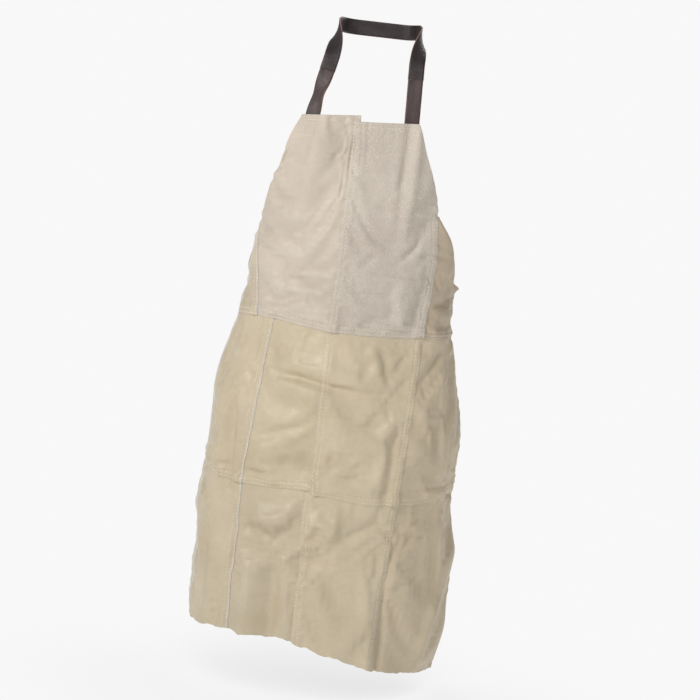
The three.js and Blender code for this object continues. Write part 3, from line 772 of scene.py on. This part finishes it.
def stitch_mesh(name, place_on, rows, thread, pitch=PITCH, radius=0.6):
    """Thread stitches along rows of points; place_on(first, second, height) maps a leather's two
    coordinates and a height over its face into the frame."""
    along, across, above, faces = stitch_shape(5, 6, 0.39 * pitch, radius)
    centres, ahead = [], []
    for row in rows:
        row = np.asarray(row, float)
        lengths = np.concatenate([[0], np.cumsum(np.linalg.norm(np.diff(row, axis=0), axis=1))])
        stops = np.arange(pitch / 2, lengths[-1], pitch)
        near, at, far = (np.stack([np.interp(stops + d, lengths, row[:, k]) for k in (0, 1)], -1)
                         for d in (-1, 0, 1))
        centres.append(at)
        ahead.append((far - near) / np.linalg.norm(far - near, axis=1, keepdims=True))
    centres, ahead = np.concatenate(centres), np.concatenate(ahead)
    beside = np.stack([-ahead[:, 1], ahead[:, 0]], -1)
    spots = centres[:, None] + ahead[:, None] * along[:, None] + beside[:, None] * across[:, None]
    first, second = spots[..., 0].ravel(), spots[..., 1].ravel()
    points = place_on(first, second, np.tile(above, len(centres)))
    offsets = np.arange(len(centres))[:, None, None] * len(along)
    place = np.stack([first, second, np.tile(across, len(centres))], -1)
    return fast_mesh(name, points, (faces + offsets).reshape(-1, 4), place, [thread])


def box_rows(s, z, half_width, half_height):
    corners = [(-1, -1), (1, -1), (1, 1), (-1, 1), (-1, -1)]
    return [np.array([(s + a * half_width, z + b * half_height) for a, b in corners])]


def level_row(line, offset, start, end):
    s = np.arange(start, end, 4.0)
    return np.stack([s, line(s) + offset], -1)


def seam_rows(panel):
    """The stitch rows that run through this panel: beside its lapped edges, over its bottom seam, and
    along the folded top edge of the bib."""
    rows = []
    for side, line, way in (("left", panel.left, 1), ("right", panel.right, -1)):
        low, high = (value_at(edge, line(panel.low(np.array(0.0)))) for edge in (panel.low, panel.high))
        if side in panel.over:
            top = min(high, panel.lap_top if side == "right" else high)
            z = np.arange(low + 4, top - 1, 4.0)
            rows += [np.stack([line(z) + offset * way, z], -1) for offset in ROWS]
    if "bottom" in panel.over:
        start, end = value_at(panel.left, low) + 2, value_at(panel.right, low) - 2
        rows += [level_row(panel.low, offset, start, end) for offset in ROWS]
    if panel.name.startswith("bib"):
        start, end = value_at(panel.left, high - 8) + 4, value_at(panel.right, high - 8) - 4
        rows.append(level_row(panel.high, -8, start, end))
    return rows


# ---- the hide panels ----
def bib_outer_left(z):
    return np.maximum(left_edge(z), left_gusset_seam(z))


def bib_outer_right(z):
    return np.minimum(right_edge(z), right_gusset_seam(z))


def level(height):
    return lambda s: np.full_like(s, height)


def make_panels():
    panels = [
        Panel("bib_left_panel", "bib_left", bib_outer_left, centre_seam, waist_line, left_top,
              over=("bottom",), under=("left", "right")),
        Panel("bib_right_panel", "bib_right", centre_seam, bib_outer_right, waist_line, right_top,
              over=("left", "right", "bottom"), under=(), lap_top=RIGHT_GUSSET_TOP),
        Panel("left_side_gusset", "left_gusset", left_edge, left_gusset_seam, waist_line,
              level(LEFT_GUSSET_TOP + 4), over=("right", "bottom"), under=(), curl=CURL),
        Panel("right_side_gusset", "right_gusset", right_gusset_seam, right_edge, waist_line,
              level(RIGHT_GUSSET_TOP + 5), over=("bottom",), under=("left",)),
    ]
    rows = [("middle", lower_line, waist_line, centre_seam, ("bottom",),
             ("skirt_cool", "skirt_warm", "skirt_cool", "skirt_deep")),
            ("lower", hem_height, lower_line, low_centre_seam, (),
             ("skirt_cool", "skirt_dull", "skirt_cool", "skirt_deep"))]
    for row, low, high, centre, bottom, hides in rows:
        sides = [("far_left", left_edge, left_seam, ("right",), (), CURL),
                 ("centre_left", left_seam, centre, (), ("left", "right"), 0.0),
                 ("centre_right", centre, right_seam, ("left", "right"), (), 0.0),
                 ("far_right", right_seam, right_edge, (), ("left",), 0.0)]
        for (spot, left, right, over, under, curl), hide in zip(sides, hides):
            panels.append(Panel(f"{row}_{spot}_panel", hide, left, right, low, high, over + bottom,
                                under + ("top",), curl))
    return panels


# Where the leather bends at each joint: the two bodies, and the heights the bend starts and ends at.
BENDS = {
    "bib": ("waist", "bib", 650, 850),
    "left": ("waist", "bib", 650, 850),
    "right": ("waist", "bib", 650, 850),
    "middle": ("waist", "skirt", WAIST_Z, 330),
    "lower": ("skirt", "hem", LOWER_Z, 120),
}


def hang(piece, panel_name):
    """Bakes a panel's piece into the frame; the bend it looks up in BENDS is not applied."""
    a, b, start, end = BENDS[panel_name.split("_")[0]]
    at_place(0, 0, start)
    at_place(0, 0, end)
    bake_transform(piece)


# The stitched squares that hold the straps behind the leather: middle and half size.
STRAP_BOXES = {
    "bib_left_panel": (-98, 905, 9, 10),
    "bib_right_panel": (70, 904, 9, 11),
    "left_side_gusset": (22 - CORNER_REACH, STRAP_Z, 11, 8),
    "right_side_gusset": (CORNER_REACH - 22, STRAP_Z, 11, 8),
}


def dress_panels():
    for panel in make_panels():
        leather = panel.build()
        hang(leather, panel.name)
        stand_for(panel.name)
        rows = seam_rows(panel)
        if panel.name in STRAP_BOXES:
            rows += box_rows(*STRAP_BOXES[panel.name])
        if rows:
            stitches = stitch_mesh(panel.name + "_stitches", panel.on_face, rows, THREAD)
            hang(stitches, panel.name)


# ---- straps ----
class Strap:
    """A flat strap: `path` is the middle line of its inner face, `across` its width direction there."""

    def __init__(self, name, path, across, width=STRAP_WIDTH, thick=STRAP_THICK, tip=0.0):
        self.name, self.width, self.thick, self.tip = name, width, thick, tip
        path, across = np.asarray(path, float), np.asarray(across, float)
        self.run = np.concatenate([[0], np.cumsum(np.linalg.norm(np.diff(path, axis=0), axis=1))])
        ahead = np.gradient(path, self.run, axis=0)
        ahead /= np.linalg.norm(ahead, axis=1, keepdims=True)
        side = across - ahead * np.sum(across * ahead, axis=1, keepdims=True)
        side /= np.linalg.norm(side, axis=1, keepdims=True)
        self.table = np.concatenate([path, side, np.cross(side, ahead)], 1)

    def place(self, run, x, height):
        values = np.stack([np.interp(run, self.run, self.table[:, k]) for k in range(9)], -1)
        centre, side, out = values[..., :3], values[..., 3:6], values[..., 6:]
        sway = 0.3 * wander(run, 0 * run, 45, len(self.name))
        return to_frame(centre + side * x[..., None] + out * (height + sway)[..., None])

    def on_face(self, run, x, height):
        return self.place(run, x, self.thick + height)

    def build(self, materials, step=2.0):
        count = 11
        half, low, high = self.width / 2, 0.0, self.thick
        flat = np.linspace(0.45 - half, half - 0.45, count)
        across = np.concatenate([flat, [half, half], flat[::-1], [-half, -half]])
        above = np.concatenate([np.full(count, low), [0.27 * high, 0.73 * high], np.full(count, high),
                                [0.73 * high, 0.27 * high]])
        run = np.linspace(0, self.run[-1], round(self.run[-1] / step) + 1)
        narrow = np.ones_like(run)
        if self.tip:
            back = np.clip((run[-1] - run) / self.tip, 0, 1)
            narrow = np.maximum(0.3, np.sqrt(1 - (1 - back) ** 2))
        x = across[None] * narrow[:, None]
        runs = np.broadcast_to(run[:, None], x.shape)
        points = self.place(runs, x, np.broadcast_to(above, x.shape)).reshape(-1, 3)
        index = np.arange(x.size).reshape(x.shape)
        after = np.roll(index, -1, axis=1)
        quads = np.stack([index[:-1], index[1:], after[1:], after[:-1]], -1)
        edge = np.zeros(quads.shape[:2], int)
        edge[:, [count - 1, count, count + 1, -3, -2, -1]] = 1
        lower, upper = np.arange(count), np.arange(2 * count + 1, count + 1, -1)
        cap = np.stack([lower[:-1], lower[1:], upper[1:], upper[:-1]], -1)
        right = [count - 1, count, count + 1, count + 2]
        left = [2 * count + 1, 2 * count + 2, 2 * count + 3, 0]
        cap = np.concatenate([cap, [right, left]])
        caps = np.concatenate([index[0][cap], index[-1][cap][:, ::-1]])
        quads = np.concatenate([quads.reshape(-1, 4), caps])
        edge = np.concatenate([edge.ravel(), np.ones(len(caps), int)])
        place = np.stack([x + 60 * (above > high / 2), runs, 0 * x], -1).reshape(-1, 3)
        return fast_mesh(self.name, points, quads, place, materials, edge)


def bezier(a, b, c, d, count=40):
    t = np.linspace(0, 1, count)[:, None]
    a, b, c, d = (np.array(p, float) for p in (a, b, c, d))
    return a * (1 - t) ** 3 + 3 * b * t * (1 - t) ** 2 + 3 * c * t**2 * (1 - t) + d * t**3


def rounded_line(corners, count=90):
    """A smooth line through a few corners (Catmull-Rom)."""
    p = np.asarray(corners, float)
    p = np.concatenate([[2 * p[0] - p[1]], p, [2 * p[-1] - p[-2]]])
    t = np.linspace(0, len(p) - 3 - 1e-9, count)
    i = t.astype(int)
    u = (t - i)[:, None]
    a, b, c, d = p[i], p[i + 1], p[i + 2], p[i + 3]
    return 0.5 * (2 * b + (c - a) * u + (2 * a - 5 * b + 4 * c - d) * u**2 + (3 * b - a - 3 * c + d) * u**3)


TAB_LOW, TAB_HIGH = 888.0, 1010.0
TAB_TOP_Y = -78.3
TABS = {-1: (96.0, 19.0), 1: (69.0, 2.0)}    # how far out each tab is sewn, and how far its top leans in
LAP_LOW = 1002.0        # lower end of the neck strap, which overlaps the tabs' fronts
TAB_BEND = (1004, 1040)
STRAP_SEWING = {"pitch": 4.5, "radius": 0.45}


def tab_line(side):
    """Middle line of a neck tab's inner face, as on the right: behind the bib, then leaning back."""
    reach, lean = TABS[side]
    sewn_y = -CHEST[1] * math.sqrt(1 - (reach / CHEST[0]) ** 2) + STRAP_THICK + 2.0
    rise = TAB_TOP_Y - sewn_y
    return rounded_line([(reach, sewn_y, TAB_LOW), (reach - 0.1 * lean, sewn_y, TOP_Z),
                         (reach - 0.5 * lean, sewn_y + 0.4 * rise, (TOP_Z + TAB_HIGH) / 2),
                         (reach - lean, TAB_TOP_Y, TAB_HIGH),
                         (reach - 1.18 * lean, TAB_TOP_Y + 0.25 * rise, TAB_HIGH + 16)])


def ride_neck(piece):
    at_place(0, 0, TAB_BEND[0])
    at_place(0, 0, TAB_BEND[1])
    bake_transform(piece)


def neck_tab(side):
    path = tab_line(side) * (side, 1, 1)
    half, deep = CHEST
    slope = math.asin(TABS[side][0] / half)
    along_bib = np.array([half * math.cos(slope), side * deep * math.sin(slope), 0])
    share = smooth(path[:, 2], TAB_LOW, TAB_HIGH)[:, None]
    across = along_bib / np.linalg.norm(along_bib) * (1 - share) + np.array([1.0, 0, 0]) * share
    if side < 0:
        # The left tab is twisted where it leaves the bib.
        turn = math.radians(38) * np.exp(-((path[:, 2] - 962) / 20) ** 2)
        across = across * np.cos(turn)[:, None] + np.array([0, -1.0, 0]) * np.sin(turn)[:, None]
    name = "left" if side < 0 else "right"
    tab = Strap(f"neck_tab_{name}_leather", path, across)
    piece = tab.build([STRAP, STRAP_EDGE])
    ride_neck(piece)
    stand_for(f"neck_tab_{name}")


def neck_half(side):
    """Half of the neck strap, as on the right: from its lap on the tab over the shoulder to the nape."""
    tab = tab_line(side)
    lap = tab[tab[:, 2] > LAP_LOW][:-4]
    start = lap[-1]
    lean = (lap[-1] - lap[-3]) / np.linalg.norm(lap[-1] - lap[-3])
    shoulder, nape = np.array([68.0, -4, 1078]), np.array([36.0, 72, 1080])
    front = bezier(start, start + 25 * lean, shoulder + (3, -32, -10), shoulder)
    back = bezier(shoulder, shoulder + (-4, 42, 6), nape + (30, 0, 0), nape)
    path = np.concatenate([lap[:-1], front, back[1:], [[12.0, 72, 1080]]])
    over = (STRAP_THICK + 0.25) * (1 - smooth(path[:, 2], 1026, 1052)) * (path[:, 1] < -20)
    path[:, 1] -= over
    share = np.concatenate([np.zeros(len(lap) - 1), np.linspace(0, 1, len(front)), np.ones(len(back))])
    across = np.stack([1 - share, 0 * share, -share], -1)
    return path, across


def neck_strap():
    (path, across), (left_path, left_across) = neck_half(1), neck_half(-1)
    mirror = np.array([-1, 1, 1])
    loop = Strap("neck_strap_leather", np.concatenate([path, left_path[::-1] * mirror]),
                 np.concatenate([across, left_across[::-1] * mirror]), width=STRAP_WIDTH + 1)
    piece = loop.build([STRAP_DARK, STRAP_EDGE])
    total = loop.run[-1]
    rows = []
    for start, way in ((3.5, 1), (total - 3.5, -1)):
        far = start + 14 * way
        rows += [[(start, -9), (start, 9)], [(far, -9), (far, 9)]]
        rows += [[(start, x), (far, x)] for x in (-9, 9)]
    stitches = stitch_mesh("neck_strap_stitches", loop.on_face, rows, DARK_THREAD, **STRAP_SEWING)
    ride_neck(piece)
    ride_neck(stitches)
    stand_for("neck_strap")


# ---- waist strap, roller buckle and keeper ----
BACK_Y, BACK_RUN = 104.0, 70.0          # the straight run behind the back, and its half length
HEEL_X, BUCKLE_REACH = 6.0, 22.0        # the heel bar, and how far the roller is from it
RAIL = STRAP_WIDTH / 2 + 3.2            # half height of the buckle frame
ROLLER = 3.4                            # outer radius
HINGE_CLEAR = 2.4                       # between the gussets and the sewn strap ends
CLEAR = 0.3             # between strap layers
HOLE_PITCH = 25.0
STRAP_EYE = 2.8         # inner radius of the strap's bend round the heel bar
KEEPER_X, KEEPER_WIDTH, KEEPER_THICK = HEEL_X + 24.5, 9.0, 1.6


def side_run():
    """Inner face of the right strap end in plan: behind the gusset, then round to the back run."""
    inset = HINGE_CLEAR + STRAP_THICK
    half, deep = (float(v) - inset for v in section_at(STRAP_Z))
    angle = np.radians(np.linspace(-15, 0, 8))
    sewn = np.stack([half * np.cos(angle), deep * np.sin(angle)], -1)
    inner_y = BACK_Y - CLEAR / 3 - STRAP_THICK
    flat = np.array([(half, 0), (half, 62), (BACK_RUN + 52, inner_y), (BACK_RUN, inner_y)])
    turn = bezier(*flat)
    return np.concatenate([sewn, turn[1:]])


def in_plan(line, z=STRAP_Z):
    line = np.asarray(line, float)
    return np.concatenate([line, np.full((len(line), 1), z)], 1)


def cut(piece, cutters):
    """Takes each cutter out of the piece and removes the cutters."""
    for cutter in cutters:
        modifier = piece.modifiers.new("cut", "BOOLEAN")
        modifier.object, modifier.operation, modifier.solver = cutter, "DIFFERENCE", "EXACT"
    done = bpy.data.meshes.new_from_object(piece.evaluated_get(bpy.context.evaluated_depsgraph_get()))
    piece.modifiers.clear()
    piece.data = done
    for cutter in cutters:
        bpy.data.objects.remove(cutter)


def slot_cutter(x, length):
    bpy.ops.mesh.primitive_cube_add(size=1, location=at_place(x, BACK_Y, STRAP_Z))
    made = bpy.context.object
    made.scale = (length * 0.001, 0.03, 0.0044)
    bpy.context.view_layer.update()
    return made


def hole_cutter(x, radius=2.2):
    bpy.ops.mesh.primitive_cylinder_add(radius=radius * 0.001, depth=0.06, vertices=24,
                                        location=at_place(x, BACK_Y, STRAP_Z), rotation=(math.pi / 2, 0, 0))
    made = bpy.context.object
    bpy.context.view_layer.update()
    return made


def ride_waist_strap(piece):
    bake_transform(piece)


def buckle_end():
    inner_y = BACK_Y - CLEAR / 3 - STRAP_THICK
    bend = np.radians(np.linspace(-90, -270, 14))
    # The strap's inner face turns into the loop's outer side, so the path runs on that face.
    outer = STRAP_EYE + STRAP_THICK
    loop = np.stack([HEEL_X + outer * np.cos(bend), BACK_Y + outer * np.sin(bend)], -1)
    back_y = BACK_Y + CLEAR / 3 + STRAP_THICK
    line = np.concatenate([side_run(), [(40, inner_y), (20, inner_y), (14, inner_y - 0.4)], loop,
                           [(14, back_y + 0.4), (20, back_y), (30, back_y), (HEEL_X + 36, back_y)]])
    # Counting its height from the inner face outwards, the leather lies inside the loop.
    path = in_plan(line)
    strap = Strap("waist_strap_buckle_leather", path, np.tile((0.0, 0, -1), (len(path), 1)))
    piece = strap.build([STRAP_DARK, STRAP_EDGE])
    cut(piece, [slot_cutter(HEEL_X, 12)])
    total = strap.run[-1]
    rows = [[(total - d, -9.5), (total - d, 9.5)] for d in (3, 24)]
    stitches = stitch_mesh("waist_strap_buckle_stitches", lambda r, x, h: strap.place(r, x, -h), rows,
                           DARK_THREAD, **STRAP_SEWING)
    ride_waist_strap(piece)
    ride_waist_strap(stitches)
    stand_for("waist_strap_buckle_end")


def tip_end():
    """From the left side, under the roller, over the heel bar and flat along the buckle end."""
    middle = STRAP_THICK / 2
    under, flat = -(ROLLER + CLEAR + middle), -(CLEAR / 3 + middle)
    over = STRAP_EYE + STRAP_THICK + CLEAR + middle
    on_top = CLEAR / 3 + STRAP_THICK * 1.5 + CLEAR
    weave = rounded_line([(-60, flat), (-36, flat), (-29, (flat + under) / 2), (-23, under), (-18, under),
                          (-10, 0.5), (-3, over), (2, over + 0.2), (9, on_top + 0.5), (14, on_top),
                          (58, on_top)], 140)
    weave = weave + (HEEL_X, BACK_Y - middle)
    side = side_run() * (-1, 1)
    path = in_plan(np.concatenate([side, weave]))
    strap = Strap("waist_strap_tip_leather", path, np.tile((0.0, 0, 1), (len(path), 1)), tip=14)
    piece = strap.build([STRAP_DARK, STRAP_EDGE])
    cut(piece, [slot_cutter(HEEL_X - 5.5, 13)] + [hole_cutter(HEEL_X - 6 + k * HOLE_PITCH)
                                                 for k in (-3, -2, 1, 2)])
    ride_waist_strap(piece)
    stand_for("waist_strap_tip_end")


def wire_mesh(name, path, flat_axis, radius, flat_radius, closed=False, taper=None, sides=14):
    """Wire of elliptical section along a flat path; flat_axis is square to the path's plane."""
    path = np.asarray(path, float)
    if closed:
        ahead = np.roll(path, -1, axis=0) - np.roll(path, 1, axis=0)
    else:
        ahead = np.gradient(path, axis=0)
    ahead /= np.linalg.norm(ahead, axis=1, keepdims=True)
    flat_axis = np.array(flat_axis, float)
    out = np.cross(ahead, flat_axis)
    around = np.arange(sides) * 2 * math.pi / sides
    size = np.ones(len(path)) if taper is None else np.asarray(taper)
    ring = (out[:, None] * radius * np.cos(around)[:, None]
            + flat_axis * flat_radius * np.sin(around)[:, None]) * size[:, None, None]
    points = to_frame((path[:, None] + ring).reshape(-1, 3))
    index = np.arange(len(path) * sides).reshape(len(path), sides)
    after = np.roll(index, -1, axis=1)
    nxt, nxt_after = (np.roll(index, -1, axis=0), np.roll(after, -1, axis=0)) if closed else (
        index[1:], after[1:])
    here, here_after = (index, after) if closed else (index[:-1], after[:-1])
    quads = np.stack([here, here_after, nxt_after, nxt], -1).reshape(-1, 4)
    if not closed:
        caps = []
        for ends in (index[0, ::-1], index[-1]):
            for k in range(sides // 2 - 1):
                caps.append([ends[k], ends[k + 1], ends[-k - 2], ends[-k - 1]])
        quads = np.concatenate([quads, caps])
    return fast_mesh(name, points, quads, points * 1000, [NICKEL])


def arc(x, y, radius, start, end, count=12):
    angle = np.radians(np.linspace(start, end, count))
    return np.stack([x + radius * np.cos(angle), y + radius * np.sin(angle)], -1)


def rounded_loop(left, right, half_height, radius, straight=8):
    """A closed rounded rectangle: corner arcs joined by straight runs of a few points."""
    corners = [arc(right - radius, half_height - radius, radius, 0, 90),
               arc(left + radius, half_height - radius, radius, 90, 180),
               arc(left + radius, radius - half_height, radius, 180, 270),
               arc(right - radius, radius - half_height, radius, 270, 360)]
    points = []
    for i, corner in enumerate(corners):
        points.append(corner)
        points.append(np.linspace(corner[-1], corners[(i + 1) % 4][0], straight)[1:-1])
    return np.concatenate(points)


def buckle_frame():
    loop = rounded_loop(-BUCKLE_REACH, 0, RAIL, 4.0)
    path = np.stack([HEEL_X + loop[:, 0], np.full(len(loop), BACK_Y), STRAP_Z + loop[:, 1]], -1)
    piece = wire_mesh("buckle_frame_wire", path, (0, 1, 0), 1.6, 1.6, closed=True)
    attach(piece, "waist_strap")
    stand_for("buckle_frame")


def buckle_roller():
    """A rolled tube: rounded lips at its ends and an open seam along its length."""
    half = STRAP_WIDTH / 2 + 1
    profile = [(2.5, -half + 0.3), (2.8, -half), (3.1, -half + 0.1), (ROLLER, -half + 0.6),
               (ROLLER, 0), (ROLLER, half - 0.6), (3.1, half - 0.1), (2.8, half), (2.5, half - 0.3),
               (2.5, 0)]
    slit = math.radians(7)
    angle = np.linspace(slit, 2 * math.pi - slit, 40)
    radius, along = np.array(profile).T
    x = HEEL_X - BUCKLE_REACH + radius * np.cos(angle[:, None])
    y = BACK_Y + radius * np.sin(angle[:, None])
    points = to_frame(np.stack([x, y, STRAP_Z + along + 0 * x], -1).reshape(-1, 3))
    index = np.arange(x.size).reshape(x.shape)
    after = np.roll(index, -1, axis=1)
    quads = np.stack([index[:-1], index[1:], after[1:], after[:-1]], -1).reshape(-1, 4)
    caps = []
    for ring in (index[0], index[-1][::-1]):
        caps += [[ring[k], ring[k + 1], ring[8 - k], ring[9 - k]] for k in range(4)]
    piece = fast_mesh("buckle_roller_tube", points, quads, points * 1000, [NICKEL])
    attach(piece, "roller")
    stand_for("buckle_roller")


def buckle_prong():
    """Bent wire: an eye round the heel bar and a tapering shank that lies on the roller."""
    rest = ROLLER + CLEAR + 0.9
    eye = arc(0, 0, 3.5, 150, 440, 26)
    shank = bezier(eye[-1], eye[-1] + (-3, 0.9), (-16, rest + 0.7), (-27, rest), 24)
    line = np.concatenate([eye, shank[1:]]) + (HEEL_X, BACK_Y)
    taper = np.concatenate([np.full(len(eye), 0.8), np.linspace(0.9, 1.0, 16), np.linspace(1.0, 0.6, 7)])
    piece = wire_mesh("buckle_prong_wire", in_plan(line), (0, 0, 1), 0.95, 1.6, taper=taper)
    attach(piece, "prong")
    stand_for("buckle_prong")


def strap_keeper():
    near, far = -(CLEAR / 3 + STRAP_THICK + CLEAR), CLEAR / 3 + 2 * STRAP_THICK + 2 * CLEAR
    loop = rounded_loop(near, far, STRAP_WIDTH / 2 + CLEAR, 1.4, straight=6)
    start = int(np.argmin(np.hypot(loop[:, 0] - near, loop[:, 1])))
    loop = np.roll(loop, -start, axis=0)[::-1]
    path = np.stack([np.full(len(loop), KEEPER_X), BACK_Y + loop[:, 0], STRAP_Z + loop[:, 1]], -1)
    strap = Strap("strap_keeper_leather", path, np.tile((-1.0, 0, 0), (len(path), 1)), width=KEEPER_WIDTH,
                  thick=KEEPER_THICK)
    piece = strap.build([STRAP_DARK, STRAP_EDGE], step=1.0)
    rows = [[(3.0, x), (strap.run[-1] - 3.0, x)] for x in (-3.2, 3.2)]
    stitches = stitch_mesh("strap_keeper_stitches", strap.on_face, rows, DARK_THREAD, pitch=3.6, radius=0.3)
    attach(piece, "keeper")
    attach(stitches, "keeper")
    stand_for("strap_keeper")


# ---- studio ----
PALE = 0.94
LAMPS = [       # place from the apron's middle, size in metres, power in watts
    ("key", (-1.7, -2.2, 2.0), 0.9, 72),
    ("fill", (2.4, -1.9, 0.4), 2.0, 12),
    ("back", (0.6, 2.4, 1.3), 1.8, 26),
]
LENS, AIM, DISTANCE = 99.5, (11, -125, 552), 3.2
LOOK_DOWN, ROLL = 8.5, 6.6              # degrees


def studio():
    """A pale background, a glowing pale floor with a soft shadow painted under the apron from ambient
    occlusion, a large soft key light from the left and a weak fill.
    """
    world = bpy.data.worlds.new("pale_studio")
    bpy.context.scene.world = world
    world.use_nodes = True
    tree = world.node_tree
    seen = node(tree, "ShaderNodeBackground", Color=(PALE, PALE, PALE, 1), Strength=1.0)
    light = node(tree, "ShaderNodeBackground", Color=(0.96, 0.98, 1, 1), Strength=0.28)
    path = node(tree, "ShaderNodeLightPath")
    mixed = node(tree, "ShaderNodeMixShader", i0=path.outputs["Is Camera Ray"], i1=light.outputs[0],
                 i2=seen.outputs[0])
    tree.links.new(mixed.outputs[0], tree.nodes["World Output"].inputs["Surface"])

    floor_z = float(to_frame((0, 0, -45))[2])
    bpy.ops.mesh.primitive_circle_add(radius=30, fill_type="NGON", vertices=96, location=(0, 0, floor_z))
    floor = bpy.context.object
    floor.name = "studio_floor"
    material, tree = tree_of("studio_floor")
    # Painted shadow: the glowing floor's colour is darkened by ambient occlusion beneath the apron.
    shade = node(tree, "ShaderNodeAmbientOcclusion", {"samples": 8}, Distance=0.45)
    soft = ramp(tree, shade.outputs["AO"], 0, 1, 0.62 * PALE, PALE)
    glow = node(tree, "ShaderNodeEmission", Color=soft, Strength=1.0)
    node(tree, "ShaderNodeOutputMaterial", Surface=glow.outputs[0])
    floor.data.materials.append(material)

    centre = Vector(at_place(0, -80, 520))
    for name, place, size, power in LAMPS:
        data = bpy.data.lights.new(name, "AREA")
        data.size, data.energy = size, power
        lamp = bpy.data.objects.new(name, data)
        bpy.context.scene.collection.objects.link(lamp)
        lamp.location = centre + Vector(place)
        lamp.rotation_euler = (-Vector(place)).to_track_quat("-Z", "Y").to_euler()


def camera():
    """Straight in front, a little above, and tilted a few degrees sideways."""
    data = bpy.data.cameras.new("camera")
    made = bpy.data.objects.new("camera", data)
    bpy.context.scene.collection.objects.link(made)
    bpy.context.scene.camera = made
    data.lens = LENS
    down = math.radians(LOOK_DOWN)
    back = Vector((0, -math.cos(down), math.sin(down)))
    made.rotation_mode = "QUATERNION"
    made.location = Vector(at_place(*AIM)) + back * DISTANCE
    made.rotation_quaternion = (-back).to_track_quat("-Z", "Y") @ Quaternion((0, 0, 1), math.radians(ROLL))


dress_panels()
neck_tab(-1)
neck_tab(1)
neck_strap()
buckle_end()
tip_end()
buckle_frame()
buckle_roller()
buckle_prong()
strap_keeper()
studio()
camera()
bpy.context.scene.view_settings.view_transform = "Standard"
